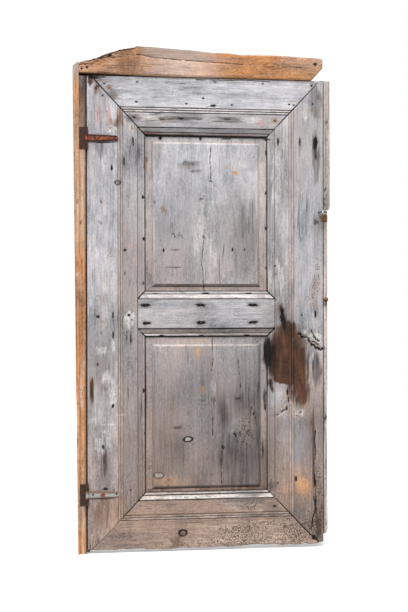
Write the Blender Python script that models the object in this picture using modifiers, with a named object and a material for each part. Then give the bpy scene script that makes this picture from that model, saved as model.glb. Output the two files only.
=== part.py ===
"""Weathered two-panel door leaf, hung on its post by tee hinges and closed with a padlock.

Metres, +Z up. The front faces -Y. The origin is the middle of the post's foot.
Leaf pieces are drawn in leaf coordinates: x from the hinge edge, y back from the
front face, z up from the bottom edge.
"""
import math

import bmesh
import bpy
from mathutils import Matrix, Vector

# Fits
SEAT_GAP = 0.0003
MITRE_GAP = 0.0016
TENON_CLEARANCE = 0.0004
PANEL_PLAY = 0.002

# Leaf
LEAF_WIDTH = 0.9215
STILE_WIDTH = 0.2215
TOP_RAIL_WIDTH = 0.2215
BOTTOM_RAIL_WIDTH = 0.2195
MIDDLE_RAIL_WIDTH = 0.1735
UPPER_OPENING_HEIGHT = 0.6025
LOWER_OPENING_HEIGHT = 0.603
BOARD_THICKNESS = 0.040
MITRE_INSET = 0.014
FLOOR_CLEARANCE = 0.008
HINGE_EDGE_GAP = 0.004

# Moulding worked on the face of the stiles and rails, from the inner edge outwards
STICKING_WIDTH = 0.030
STICKING_DEPTH = 0.012
INNER_BAND_WIDTH = 0.0555
INNER_BAND_DROP = 0.0015
REED_WIDTH = 0.009
REED_GROOVE_DEPTH = 0.003
ARRIS = 0.003

# Panels held in grooves
GROOVE_SETBACK = 0.017
GROOVE_DEPTH = 0.014
TONGUE_THICKNESS = 0.012
SIDE_MARGIN = 0.0275
UPPER_TOP_MARGIN = 0.0245
UPPER_BASE_MARGIN = 0.0185
LOWER_TOP_MARGIN = 0.031
LOWER_BASE_MARGIN = 0.014
FIELD_BEVEL = 0.009
FIELD_RISE = 0.007

# Mortise and tenon joints
TENON_THICKNESS = 0.012
TENON_HEIGHT = 0.080
TENON_STOP = 0.050

# Battens across the back
BATTEN_HEIGHT = 0.110
BATTEN_THICKNESS = 0.024
BATTEN_END_INSET = 0.045
BATTEN_CHAMFER = 0.004

# Strips nailed along the closing edge
UPPER_STRIP_WIDTH = 0.028
UPPER_STRIP_LENGTH = 0.505
LOWER_STRIP_WIDTH = 0.0170
LOWER_STRIP_END = 0.044
STRIP_SETBACK = 0.004
STRIP_THICKNESS = 0.030
STRIP_JOINT_GAP = 0.0006
STRIP_ROUND = 0.002

# Hinge post
POST_DEPTH = 0.070
POST_FACE_WIDTH = 0.027
POST_EDGE_TOP = 0.0225
POST_EDGE_FOOT = 0.005
POST_EDGE_PROUD = 0.006
POST_STOP_WIDTH = 0.014
STOP_CLEARANCE = 0.0015
POST_HORN = 0.051
POST_HORN_SLOPE = 0.015
SHOULDER_CHIP_HEIGHT = 0.011
SHOULDER_CHIP_DEPTH = 0.024

# Head beam
HEAD_GAP_HINGE_SIDE = 0.009
HEAD_GAP_LOCK_SIDE = 0.005
HEAD_PROUD = 0.008
HEAD_END_INSET = 0.004
HEAD_STOP_DROP = 0.012
HEAD_START_HEIGHT = 0.050
HEAD_PEAK_X = 0.193
HEAD_PEAK_HEIGHT = 0.117
HEAD_END_HEIGHT = 0.085
HEAD_CHAMFER_RUN = 0.042
HEAD_CHAMFER_RISE = 0.043
HEAD_TENON_WIDTH = 0.014
HEAD_TENON_DEPTH = 0.028
HEAD_TENON_LENGTH = 0.034

# Tee hinges
PLATE_HEIGHT = 0.082
PLATE_MARGIN = 0.002
METAL_THICKNESS = 0.0026
KNUCKLE_RADIUS = 0.0055
KNUCKLE_GAP = 0.0004
PIN_RADIUS = 0.0027
PIN_CLEARANCE = 0.0004
PIN_HEAD_RADIUS = 0.0042
PIN_HEAD_HEIGHT = 0.0018
STRAP_LENGTH = 0.121
STRAP_ROOT_HEIGHT = 0.028
STRAP_TIP_HEIGHT = 0.022
TOP_HINGE_DROP = 0.239
BOTTOM_HINGE_RISE = 0.219

# Staple and padlock
STAPLE_BELOW_JOINT = 0.010
STAPLE_SPAN = 0.030
STAPLE_REACH = 0.011
STAPLE_STANDOFF = 0.019
STAPLE_RADIUS = 0.0023
STAPLE_BEND = 0.006
STAPLE_BITE = 0.020
PADLOCK_TURN = math.radians(48)
PADLOCK_SHIFT = 0.0025
LOCK_WIDTH = 0.032
LOCK_HEIGHT = 0.030
LOCK_THICKNESS = 0.014
LOCK_ROUND = 0.0018
SHACKLE_RADIUS = 0.0026
SHACKLE_SPACING = 0.0202
SHACKLE_NECK = 0.004
SHORT_LEG_BITE = 0.009
LONG_LEG_BITE = 0.024
PLUG_RADIUS = 0.0045
PLUG_LENGTH = 0.018
KEYWAY_WIDTH = 0.0016
KEYWAY_HEIGHT = 0.0055
KEYWAY_DEPTH = 0.012

# Small brass pull on the closing edge
KNOB_RISE = 0.963
KNOB_RADIUS = 0.0092
KNOB_NECK_RADIUS = 0.0042
KNOB_BASE_RADIUS = 0.0065
KNOB_BASE_HEIGHT = 0.0022
KNOB_PROJECTION = 0.017
KNOB_SHANK_RADIUS = 0.0021
KNOB_SHANK_LENGTH = 0.014

# Facets and tolerances
ROUND_SIDES = 24
ARC_STEPS = 8
WELD = 0.00001
OVERCUT = 0.01

# Places worked out from the sizes
LOWER_OPENING_TOP = BOTTOM_RAIL_WIDTH + LOWER_OPENING_HEIGHT
UPPER_OPENING_BASE = LOWER_OPENING_TOP + MIDDLE_RAIL_WIDTH
UPPER_OPENING_TOP = UPPER_OPENING_BASE + UPPER_OPENING_HEIGHT
LEAF_HEIGHT = UPPER_OPENING_TOP + TOP_RAIL_WIDTH
OPENING_LEFT = STILE_WIDTH
OPENING_RIGHT = LEAF_WIDTH - STILE_WIDTH
POST_INNER_X = (POST_FACE_WIDTH + POST_EDGE_FOOT) / 2
FRONT_Y = -POST_DEPTH / 2
LEAF_EDGE_X = POST_INNER_X + HINGE_EDGE_GAP
HINGE_LINE_X = POST_INNER_X + HINGE_EDGE_GAP / 2
HINGE_LINE_Y = FRONT_Y - SEAT_GAP - KNUCKLE_RADIUS
LEAF_OFFSET = Vector((HINGE_EDGE_GAP / 2, SEAT_GAP + KNUCKLE_RADIUS, 0))
LEAF_TOP_Z = FLOOR_CLEARANCE + LEAF_HEIGHT
HEAD_BASE_Z = LEAF_TOP_Z + HEAD_GAP_HINGE_SIDE
SHACKLE_BOW = SHACKLE_SPACING / 2
BOW_DROP = SHACKLE_BOW - SHACKLE_RADIUS - STAPLE_RADIUS - SEAT_GAP
LOCK_TOP = -BOW_DROP - SHACKLE_NECK
LOCK_BASE = LOCK_TOP - LOCK_HEIGHT
STRIP_JOINT_Z = LEAF_HEIGHT - UPPER_STRIP_LENGTH
STAPLE_Z = STRIP_JOINT_Z - STAPLE_BELOW_JOINT
STAPLE_X = LEAF_WIDTH + STAPLE_REACH - STAPLE_SPAN / 2

AXIS_TURN = {
    "X": Matrix.Rotation(-math.pi / 2, 4, "Y"),
    "Y": Matrix.Rotation(math.pi / 2, 4, "X"),
    "Z": Matrix.Identity(4),
}
AXIS_STEP = {"X": Vector((1, 0, 0)), "Y": Vector((0, 1, 0)), "Z": Vector((0, 0, 1))}


def clear_scene():
    for item in list(bpy.data.objects):
        bpy.data.objects.remove(item, do_unlink=True)


def new_collection(name):
    group = bpy.data.collections.new(name)
    bpy.context.scene.collection.children.link(group)
    return group


def finish_material(name, colour, roughness, metallic):
    material = bpy.data.materials.new(name)
    material.use_nodes = True
    shader = material.node_tree.nodes["Principled BSDF"]
    shader.inputs["Base Color"].default_value = (*colour, 1)
    shader.inputs["Roughness"].default_value = roughness
    shader.inputs["Metallic"].default_value = metallic
    return material


clear_scene()
PARTS = new_collection("panelled_door")
CUTTERS = new_collection("cutters")
GREY_WOOD = ("weathered_grey", (0.42, 0.37, 0.33), 0.85, 0.0)
BROWN_WOOD = ("weathered_brown", (0.36, 0.22, 0.13), 0.85, 0.0)
RUSTY_STEEL = ("rusty_steel", (0.13, 0.07, 0.05), 0.80, 0.4)
ZINC_STEEL = ("zinc_steel", (0.38, 0.37, 0.36), 0.55, 0.8)
DARK_STEEL = ("dark_steel", (0.10, 0.09, 0.09), 0.60, 0.7)
BRIGHT_STEEL = ("bright_steel", (0.60, 0.60, 0.61), 0.30, 1.0)
BRASS = ("brass", (0.62, 0.43, 0.14), 0.35, 1.0)


def pivot(name, location, parent=None):
    """Empty that stands on a joint's axis and carries the pieces that move with it."""
    empty = bpy.data.objects.new(name, None)
    PARTS.objects.link(empty)
    empty.parent = parent
    empty.location = location
    return empty


def add_object(name, mesh, parent, location, finish):
    """A named sub-part with a finish, or a hidden cutter without one."""
    item = bpy.data.objects.new(name, mesh)
    item.parent = parent
    item.location = location
    if finish is None:
        CUTTERS.objects.link(item)
        item.hide_render = True
        item.display_type = "WIRE"
    else:
        PARTS.objects.link(item)
        mesh.materials.append(finish_material(name + "_" + finish[0], *finish[1:]))
    return item


def welded_mesh(curve):
    """Closed mesh of a curve, with its caps welded on and its faces turned out."""
    holder = bpy.data.objects.new(curve.name, curve)
    bpy.context.scene.collection.objects.link(holder)
    graph = bpy.context.evaluated_depsgraph_get()
    mesh = bpy.data.meshes.new_from_object(holder.evaluated_get(graph))
    bpy.data.objects.remove(holder, do_unlink=True)
    shape = bmesh.new()
    shape.from_mesh(mesh)
    bmesh.ops.remove_doubles(shape, verts=shape.verts, dist=WELD)
    bmesh.ops.recalc_face_normals(shape, faces=shape.faces)
    shape.to_mesh(mesh)
    shape.free()
    mesh.materials.clear()
    return mesh


def prism_mesh(name, outline, low, high, along):
    """Flat outline extruded along one axis.

    The outline is (x, y) along Z, (x, z) along Y and (z, y) along X.
    """
    curve = bpy.data.curves.new(name, "CURVE")
    curve.dimensions = "2D"
    curve.fill_mode = "BOTH"
    curve.extrude = (high - low) / 2
    spline = curve.splines.new("POLY")
    spline.points.add(len(outline) - 1)
    for point, (across, up) in zip(spline.points, outline):
        point.co = (across, up, 0, 1)
    spline.use_cyclic_u = True
    mesh = welded_mesh(curve)
    middle = AXIS_STEP[along] * (low + high) / 2
    mesh.transform(Matrix.Translation(middle) @ AXIS_TURN[along])
    return mesh


def box_mesh(name, low, high):
    low = Vector(low)
    high = Vector(high)
    shape = bmesh.new()
    bmesh.ops.create_cube(shape, size=1)
    bmesh.ops.scale(shape, vec=high - low, verts=shape.verts)
    bmesh.ops.translate(shape, vec=(low + high) / 2, verts=shape.verts)
    mesh = bpy.data.meshes.new(name)
    shape.to_mesh(mesh)
    shape.free()
    return mesh


def rod_mesh(name, radius, low, high, centre=(0, 0, 0), along="Z"):
    """Round bar between two places on one axis."""
    shape = bmesh.new()
    bmesh.ops.create_cone(shape, cap_ends=True, segments=ROUND_SIDES,
                          radius1=radius, radius2=radius, depth=high - low)
    mesh = bpy.data.meshes.new(name)
    shape.to_mesh(mesh)
    shape.free()
    middle = Vector(centre) + AXIS_STEP[along] * (low + high) / 2
    mesh.transform(Matrix.Translation(middle) @ AXIS_TURN[along])
    return mesh


def wire_mesh(name, path, radius):
    """Round wire along a path, closed at both ends."""
    curve = bpy.data.curves.new(name, "CURVE")
    curve.dimensions = "3D"
    curve.bevel_depth = radius
    curve.bevel_resolution = 3
    curve.use_fill_caps = True
    spline = curve.splines.new("POLY")
    spline.points.add(len(path) - 1)
    for point, place in zip(spline.points, path):
        point.co = (*place, 1)
    return welded_mesh(curve)


def arc(centre, radius, start, end, steps=ARC_STEPS):
    """Points on a flat arc, angles in degrees."""
    points = []
    for step in range(steps + 1):
        angle = math.radians(start + (end - start) * step / steps)
        points.append((centre[0] + radius * math.cos(angle), centre[1] + radius * math.sin(angle)))
    return points


def turn_profile(item):
    """Spins a profile in the XZ plane round Z."""
    screw = item.modifiers.new("turned", "SCREW")
    screw.steps = ROUND_SIDES
    screw.render_steps = ROUND_SIDES
    screw.use_merge_vertices = True
    screw.merge_threshold = WELD
    item.data.shade_smooth()


def profile_mesh(name, points):
    """Open line of (radius, height) points, listed from the top down the outer side."""
    mesh = bpy.data.meshes.new(name)
    edges = [(index, index + 1) for index in range(len(points) - 1)]
    mesh.from_pydata([(radius, 0, height) for radius, height in points], edges, [])
    return mesh


def join(item, operation, tool):
    step = item.modifiers.new(operation.lower(), "BOOLEAN")
    step.operation = operation
    step.solver = "EXACT"
    step.object = tool


def soften(item, width, segments=1):
    edge = item.modifiers.new("arris", "BEVEL")
    edge.width = width
    edge.segments = segments
    edge.limit_method = "ANGLE"


leaf_pivot = pivot("leaf_pivot", (HINGE_LINE_X, HINGE_LINE_Y, FLOOR_CLEARANCE))


def leaf_part(name, mesh, finish):
    return add_object(name, mesh, leaf_pivot, LEAF_OFFSET, finish)


def leaf_cutter(name, mesh):
    return add_object(name, mesh, leaf_pivot, LEAF_OFFSET, None)


def frame_part(name, mesh, finish):
    return add_object(name, mesh, None, (0, 0, 0), finish)


def frame_cutter(name, mesh):
    return add_object(name, mesh, None, (0, 0, 0), None)


# Boards of the leaf

def reed(start):
    """One rounded reed: distance across the board and depth below its face."""
    rise = REED_GROOVE_DEPTH * 0.7
    quarter = REED_WIDTH / 4
    return [
        (start + quarter, REED_GROOVE_DEPTH - rise),
        (start + 2 * quarter, 0),
        (start + 3 * quarter, REED_GROOVE_DEPTH - rise),
        (start + 4 * quarter, REED_GROOVE_DEPTH),
    ]


def sticking(width):
    """Moulded inner edge: quirk, bevel, quirk and bead, ending at the given width."""
    start = width - STICKING_WIDTH
    return [
        (start, INNER_BAND_DROP),
        (start + STICKING_WIDTH * 0.05, STICKING_DEPTH * 0.45),
        (start + STICKING_WIDTH * 0.10, STICKING_DEPTH * 0.30),
        (start + STICKING_WIDTH * 0.58, STICKING_DEPTH * 0.80),
        (start + STICKING_WIDTH * 0.64, STICKING_DEPTH),
        (start + STICKING_WIDTH * 0.72, STICKING_DEPTH * 0.75),
        (start + STICKING_WIDTH * 0.88, STICKING_DEPTH * 0.75),
        (width, STICKING_DEPTH),
    ]


def groove(width):
    """Panel groove in the inner edge."""
    far = GROOVE_SETBACK + TONGUE_THICKNESS + 2 * SEAT_GAP
    return [
        (width, GROOVE_SETBACK),
        (width - GROOVE_DEPTH, GROOVE_SETBACK),
        (width - GROOVE_DEPTH, far),
        (width, far),
        (width, BOARD_THICKNESS),
    ]


def frame_profile(width):
    """Cross-section of a stile or outer rail from its outer edge (0) to its inner edge."""
    reeds_end = width - STICKING_WIDTH - INNER_BAND_WIDTH
    reeds_start = reeds_end - 2 * REED_WIDTH
    points = [(0, BOARD_THICKNESS), (0, ARRIS), (ARRIS, 0)]
    points.append((reeds_start - REED_GROOVE_DEPTH, 0))
    points.append((reeds_start, REED_GROOVE_DEPTH))
    points += reed(reeds_start)
    points += reed(reeds_start + REED_WIDTH)
    points.append((reeds_end + REED_GROOVE_DEPTH, INNER_BAND_DROP))
    return points + sticking(width) + groove(width)


def middle_profile(width):
    """Cross-section of the middle rail, moulded and grooved along both edges."""
    upper = sticking(width) + groove(width)
    lower = [(width - across, depth) for across, depth in reversed(upper)]
    return lower[1:] + upper[:-1] + [(width, BOARD_THICKNESS), (0, BOARD_THICKNESS)]


def mitre_x(rail_width, height):
    """Distance of the mitre line from the leaf's edge at a height up the rail."""
    return MITRE_INSET + (STILE_WIDTH - MITRE_INSET) * height / rail_width


def mitre_shift(rail_width):
    """Sideways shift of either board that opens the mitre by half its gap."""
    run = STILE_WIDTH - MITRE_INSET
    return MITRE_GAP / 2 * math.hypot(run, rail_width) / rail_width


def stile_outline():
    """Front outline of the hinge stile, mitred at both ends and let in for the middle rail.

    It runs past the long edges, which the moulded section already gives.
    """
    beyond = STILE_WIDTH + OVERCUT
    run = STILE_WIDTH - MITRE_INSET
    low_shift = mitre_shift(BOTTOM_RAIL_WIDTH)
    top_shift = mitre_shift(TOP_RAIL_WIDTH)
    low_rise = (beyond + low_shift - MITRE_INSET) * BOTTOM_RAIL_WIDTH / run
    top_drop = (beyond + top_shift - MITRE_INSET) * TOP_RAIL_WIDTH / run
    half_gap = MITRE_GAP / 2
    slant = half_gap * math.sqrt(2)
    shoulder = STILE_WIDTH - STICKING_WIDTH - half_gap
    notch = STICKING_WIDTH + half_gap - slant
    return [
        (-OVERCUT, 0),
        (mitre_x(BOTTOM_RAIL_WIDTH, 0) - low_shift, 0),
        (beyond, low_rise),
        (beyond, LOWER_OPENING_TOP - slant - OVERCUT),
        (shoulder, LOWER_OPENING_TOP + notch),
        (shoulder, UPPER_OPENING_BASE - notch),
        (beyond, UPPER_OPENING_BASE + slant + OVERCUT),
        (beyond, LEAF_HEIGHT - top_drop),
        (mitre_x(TOP_RAIL_WIDTH, 0) - top_shift, LEAF_HEIGHT),
        (-OVERCUT, LEAF_HEIGHT),
    ]


def rail_outline(rail_width):
    """Front outline of an outer rail, from its outer edge at height 0 and past both edges."""
    shift = mitre_shift(rail_width)
    low = mitre_x(rail_width, -OVERCUT) + shift
    high = mitre_x(rail_width, rail_width + OVERCUT) + shift
    return [
        (low, -OVERCUT),
        (LEAF_WIDTH - low, -OVERCUT),
        (LEAF_WIDTH - high, rail_width + OVERCUT),
        (high, rail_width + OVERCUT),
    ]


def middle_rail_outline():
    """Front outline of the middle rail, with mitred ends between the stiles' mouldings."""
    half_gap = MITRE_GAP / 2
    slant = half_gap * math.sqrt(2)
    end = OPENING_LEFT - STICKING_WIDTH + half_gap
    tip = OPENING_LEFT + slant + OVERCUT
    notch = STICKING_WIDTH + slant - half_gap
    left_side = [
        (tip, UPPER_OPENING_BASE + OVERCUT),
        (end, UPPER_OPENING_BASE - notch),
        (end, LOWER_OPENING_TOP + notch),
        (tip, LOWER_OPENING_TOP - OVERCUT),
    ]
    return left_side + mirrored(left_side, LEAF_WIDTH)


def mirrored(outline, total):
    return [(total - across, up) for across, up in reversed(outline)]


def tenon_box(name, side, middle, clearance, height=TENON_HEIGHT):
    """Tenon at one end of a rail, or the mortise for it when a clearance is given."""
    depth = BOARD_THICKNESS / 2
    half = TENON_THICKNESS / 2 + clearance
    near = TENON_STOP - clearance
    far = STILE_WIDTH + TENON_THICKNESS
    if side == "lock":
        near, far = LEAF_WIDTH - far, LEAF_WIDTH - near
    low = (near, depth - half, middle - height / 2 - clearance)
    high = (far, depth + half, middle + height / 2 + clearance)
    return box_mesh(name, low, high)


RAIL_MIDDLES = {
    "bottom_rail": BOTTOM_RAIL_WIDTH / 2,
    "middle_rail": LOWER_OPENING_TOP + MIDDLE_RAIL_WIDTH / 2,
    "top_rail": LEAF_HEIGHT - TOP_RAIL_WIDTH / 2,
}


def board(name, profile_solid, outline):
    """Moulded length of timber trimmed to its front outline."""
    item = leaf_part(name, profile_solid, GREY_WOOD)
    trim = prism_mesh(name + "_trim", outline, -OVERCUT, BOARD_THICKNESS + OVERCUT, "Y")
    join(item, "INTERSECT", leaf_cutter(name + "_trim", trim))
    return item


def make_stile(name, side):
    profile = frame_profile(STILE_WIDTH)
    outline = stile_outline()
    if side == "lock":
        profile = mirrored(profile, LEAF_WIDTH)
        outline = mirrored(outline, LEAF_WIDTH)
    solid = prism_mesh(name, profile, -OVERCUT, LEAF_HEIGHT + OVERCUT, "Z")
    stile = board(name, solid, outline)
    for rail, middle in RAIL_MIDDLES.items():
        mortise = tenon_box(name + "_mortise_" + rail, side, middle, TENON_CLEARANCE)
        join(stile, "DIFFERENCE", leaf_cutter(name + "_mortise_" + rail, mortise))
    return stile


def make_rail(name, profile, outline):
    """Rail with a tenon standing out of each end."""
    solid = prism_mesh(name, profile, -OVERCUT, LEAF_WIDTH + OVERCUT, "X")
    rail = board(name, solid, outline)
    for side in ("hinge", "lock"):
        tenon = tenon_box(name + "_tenon_" + side, side, RAIL_MIDDLES[name], 0)
        join(rail, "UNION", leaf_cutter(name + "_tenon_" + side, tenon))
    return rail


def make_panel(name, base, top, base_margin, top_margin):
    """Raised and fielded panel: tongue, sunk margin, bevel and field."""
    reach = GROOVE_DEPTH - PANEL_PLAY
    front = GROOVE_SETBACK + SEAT_GAP
    shape = bmesh.new()
    shape.from_mesh(box_mesh(
        name + "_blank",
        (OPENING_LEFT - reach, front, base - reach),
        (OPENING_RIGHT + reach, front + TONGUE_THICKNESS, top + reach)))
    shape.normal_update()
    face = min(shape.faces, key=lambda item: item.normal.y)
    bmesh.ops.inset_region(shape, faces=[face], thickness=reach + SIDE_MARGIN, depth=0)
    bmesh.ops.inset_region(shape, faces=[face], thickness=FIELD_BEVEL, depth=FIELD_RISE)
    # The field is not centred in the height of the opening
    middle = (base + top) / 2
    for vert in shape.verts:
        if OPENING_LEFT < vert.co.x < OPENING_RIGHT:
            vert.co.z += base_margin - SIDE_MARGIN if vert.co.z < middle else SIDE_MARGIN - top_margin
    mesh = bpy.data.meshes.new(name)
    shape.to_mesh(mesh)
    shape.free()
    return leaf_part(name, mesh, GREY_WOOD)


def make_batten(name, middle):
    """Plank across the back of the leaf behind one rail."""
    near = BOARD_THICKNESS + SEAT_GAP
    mesh = box_mesh(
        name,
        (BATTEN_END_INSET, near, middle - BATTEN_HEIGHT / 2),
        (LEAF_WIDTH - BATTEN_END_INSET, near + BATTEN_THICKNESS, middle + BATTEN_HEIGHT / 2))
    soften(leaf_part(name, mesh, GREY_WOOD), BATTEN_CHAMFER)


def make_strip(name, width, base, top):
    """Lath along the closing edge of the lock stile."""
    left = LEAF_WIDTH + SEAT_GAP
    mesh = box_mesh(
        name,
        (left, STRIP_SETBACK, base),
        (LEAF_WIDTH + width, STRIP_SETBACK + STRIP_THICKNESS, top))
    strip = leaf_part(name, mesh, GREY_WOOD)
    soften(strip, STRIP_ROUND, 2)
    return strip


make_stile("hinge_stile", "hinge")
lock_stile = make_stile("lock_stile", "lock")
make_rail("bottom_rail", frame_profile(BOTTOM_RAIL_WIDTH), rail_outline(BOTTOM_RAIL_WIDTH))
make_rail("top_rail",
          mirrored(frame_profile(TOP_RAIL_WIDTH), LEAF_HEIGHT),
          [(x, LEAF_HEIGHT - z) for x, z in reversed(rail_outline(TOP_RAIL_WIDTH))])
make_rail("middle_rail",
          [(LOWER_OPENING_TOP + z, y) for z, y in middle_profile(MIDDLE_RAIL_WIDTH)],
          middle_rail_outline())
make_panel("lower_panel", BOTTOM_RAIL_WIDTH, LOWER_OPENING_TOP, LOWER_BASE_MARGIN, LOWER_TOP_MARGIN)
make_panel("upper_panel", UPPER_OPENING_BASE, UPPER_OPENING_TOP, UPPER_BASE_MARGIN, UPPER_TOP_MARGIN)
for rail_name, rail_middle in RAIL_MIDDLES.items():
    make_batten(rail_name.replace("rail", "batten"), rail_middle)
make_strip("upper_edge_strip", UPPER_STRIP_WIDTH, STRIP_JOINT_Z, LEAF_HEIGHT)
lower_strip = make_strip("lower_edge_strip", LOWER_STRIP_WIDTH,
                         LOWER_STRIP_END, STRIP_JOINT_Z - STRIP_JOINT_GAP)


# Post and head

def make_post():
    """Hinge post: tapered proud edge, flat face for the plates, stop behind the leaf."""
    back = POST_DEPTH / 2
    step_x = POST_INNER_X - POST_FACE_WIDTH
    horn_z = LEAF_TOP_Z + POST_HORN
    shoulder_z = HEAD_BASE_Z - SEAT_GAP
    edge = [
        (step_x - POST_EDGE_FOOT, 0),
        (step_x, 0),
        (step_x, horn_z),
        (step_x - POST_EDGE_TOP, horn_z - POST_HORN_SLOPE),
    ]
    post = frame_part("hinge_post", prism_mesh(
        "hinge_post", edge, FRONT_Y - POST_EDGE_PROUD, back, "Y"), BROWN_WOOD)
    face = box_mesh("post_face", (step_x - POST_EDGE_FOOT / 2, FRONT_Y, 0),
                    (POST_INNER_X, back, shoulder_z))
    join(post, "UNION", frame_cutter("post_face", face))
    stop_y = FRONT_Y + BOARD_THICKNESS + STOP_CLEARANCE
    stop = box_mesh("post_stop", (step_x, stop_y, 0),
                    (POST_INNER_X + POST_STOP_WIDTH, back, shoulder_z))
    join(post, "UNION", frame_cutter("post_stop", stop))
    chip = box_mesh("post_chip",
                    (step_x, FRONT_Y - OVERCUT, shoulder_z - SHOULDER_CHIP_HEIGHT),
                    (POST_INNER_X + OVERCUT, FRONT_Y + SHOULDER_CHIP_DEPTH, shoulder_z + OVERCUT))
    join(post, "DIFFERENCE", frame_cutter("post_chip", chip))
    mortise = head_tenon("post_mortise", TENON_CLEARANCE)
    join(post, "DIFFERENCE", frame_cutter("post_mortise", mortise))


def head_tenon(name, clearance):
    """Stub tenon under the head beam, or its mortise in the post."""
    middle_x = POST_INNER_X - POST_FACE_WIDTH / 2
    half_x = HEAD_TENON_WIDTH / 2 + clearance
    middle_y = (FRONT_Y + SHOULDER_CHIP_DEPTH + POST_DEPTH / 2) / 2
    half_y = HEAD_TENON_DEPTH / 2 + clearance
    low = (middle_x - half_x, middle_y - half_y, HEAD_BASE_Z - HEAD_TENON_LENGTH - clearance)
    high = (middle_x + half_x, middle_y + half_y, HEAD_BASE_Z + OVERCUT)
    return box_mesh(name, low, high)


def head_outline():
    """Front outline of the head beam: broken slope at the hinge end, sawn chamfer at the other.

    The slope's points are shares of the way from the start up to the peak, and the worn
    top's are shares of the way from the peak down to the far end.
    """
    start = POST_INNER_X - POST_FACE_WIDTH + SEAT_GAP
    peak = LEAF_EDGE_X + HEAD_PEAK_X
    end = LEAF_EDGE_X + LEAF_WIDTH - HEAD_END_INSET
    broken_slope = [(0.21, 0.20), (0.34, 0.33), (0.47, 0.55), (0.61, 0.67), (0.74, 0.84),
                    (0.90, 0.92), (1, 1)]
    worn_top = [(0.30, 0.40), (0.40, 0.58), (0.56, 0.76), (0.72, 0.69), (0.87, 0.80), (0.97, 0.90)]
    points = [(start, HEAD_BASE_Z), (start, LEAF_TOP_Z + HEAD_START_HEIGHT)]
    for along, rise in broken_slope:
        height = HEAD_START_HEIGHT + (HEAD_PEAK_HEIGHT - HEAD_START_HEIGHT) * rise
        points.append((start + (peak - start) * along, LEAF_TOP_Z + height))
    for along, drop in worn_top:
        height = HEAD_PEAK_HEIGHT - (HEAD_PEAK_HEIGHT - HEAD_END_HEIGHT) * drop
        points.append((peak + (end - peak) * along, LEAF_TOP_Z + height))
    lock_base = LEAF_TOP_Z + HEAD_GAP_LOCK_SIDE
    points += [(end, LEAF_TOP_Z + HEAD_END_HEIGHT), (end, lock_base + HEAD_CHAMFER_RISE)]
    points += [(end - HEAD_CHAMFER_RUN, lock_base), (LEAF_EDGE_X, HEAD_BASE_Z)]
    return points


def make_head():
    """Head beam with a stub tenon in the post and a stop that hangs behind the leaf."""
    back = POST_DEPTH / 2
    head = frame_part("head_beam", prism_mesh(
        "head_beam", head_outline(), FRONT_Y - HEAD_PROUD, back, "Y"), BROWN_WOOD)
    join(head, "UNION", frame_cutter("head_tenon", head_tenon("head_tenon", 0)))
    stop_y = FRONT_Y + BOARD_THICKNESS + STOP_CLEARANCE
    stop_start = POST_INNER_X + POST_STOP_WIDTH + SEAT_GAP
    stop_end = LEAF_EDGE_X + LEAF_WIDTH - HEAD_END_INSET - HEAD_CHAMFER_RUN
    stop = box_mesh("head_stop", (stop_start, stop_y, LEAF_TOP_Z - HEAD_STOP_DROP),
                    (stop_end, back, HEAD_BASE_Z + OVERCUT))
    join(head, "UNION", frame_cutter("head_stop", stop))


make_post()
make_head()


# Tee hinges

STRAP_KNUCKLE = STRAP_ROOT_HEIGHT + KNUCKLE_GAP


def make_plate(name, finish, height):
    """Fixed plate on the post with a knuckle above and below the strap's."""
    left = POST_FACE_WIDTH - PLATE_MARGIN + HINGE_EDGE_GAP / 2
    right = KNUCKLE_RADIUS + KNUCKLE_GAP
    flat_back = KNUCKLE_RADIUS
    flat_front = KNUCKLE_RADIUS - METAL_THICKNESS
    half = PLATE_HEIGHT / 2
    inner = STRAP_KNUCKLE / 2
    place = (HINGE_LINE_X, HINGE_LINE_Y, height)
    plate = add_object(name, box_mesh(
        name, (-left, flat_front, -half), (-right, flat_back, half)), None, place, finish)
    bore = rod_mesh(name + "_bore", PIN_RADIUS + PIN_CLEARANCE, -half - OVERCUT, half + OVERCUT)
    for label, low, high in (("upper", inner, half), ("lower", -half, -inner)):
        web = box_mesh(name + "_web", (-right - METAL_THICKNESS, flat_front, low),
                       (0, flat_back, high))
        join(plate, "UNION", add_object(name + "_web_" + label, web, None, place, None))
        knuckle = rod_mesh(name + "_knuckle", KNUCKLE_RADIUS, low, high)
        join(plate, "UNION", add_object(name + "_knuckle_" + label, knuckle, None, place, None))
    join(plate, "DIFFERENCE", add_object(name + "_bore", bore, None, place, None))


def make_pin(name, finish, height):
    """Pin with a riveted head at each end."""
    half = PLATE_HEIGHT / 2 + KNUCKLE_GAP
    cap = half + PIN_HEAD_HEIGHT
    crown = PIN_HEAD_RADIUS * 0.6
    points = [
        (0, cap), (crown, cap), (PIN_HEAD_RADIUS, half + PIN_HEAD_HEIGHT / 2),
        (PIN_HEAD_RADIUS, half), (PIN_RADIUS, half),
        (PIN_RADIUS, -half), (PIN_HEAD_RADIUS, -half),
        (PIN_HEAD_RADIUS, -half - PIN_HEAD_HEIGHT / 2), (crown, -cap), (0, -cap),
    ]
    place = (HINGE_LINE_X, HINGE_LINE_Y, height)
    turn_profile(add_object(name, profile_mesh(name, points), None, place, finish))


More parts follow.
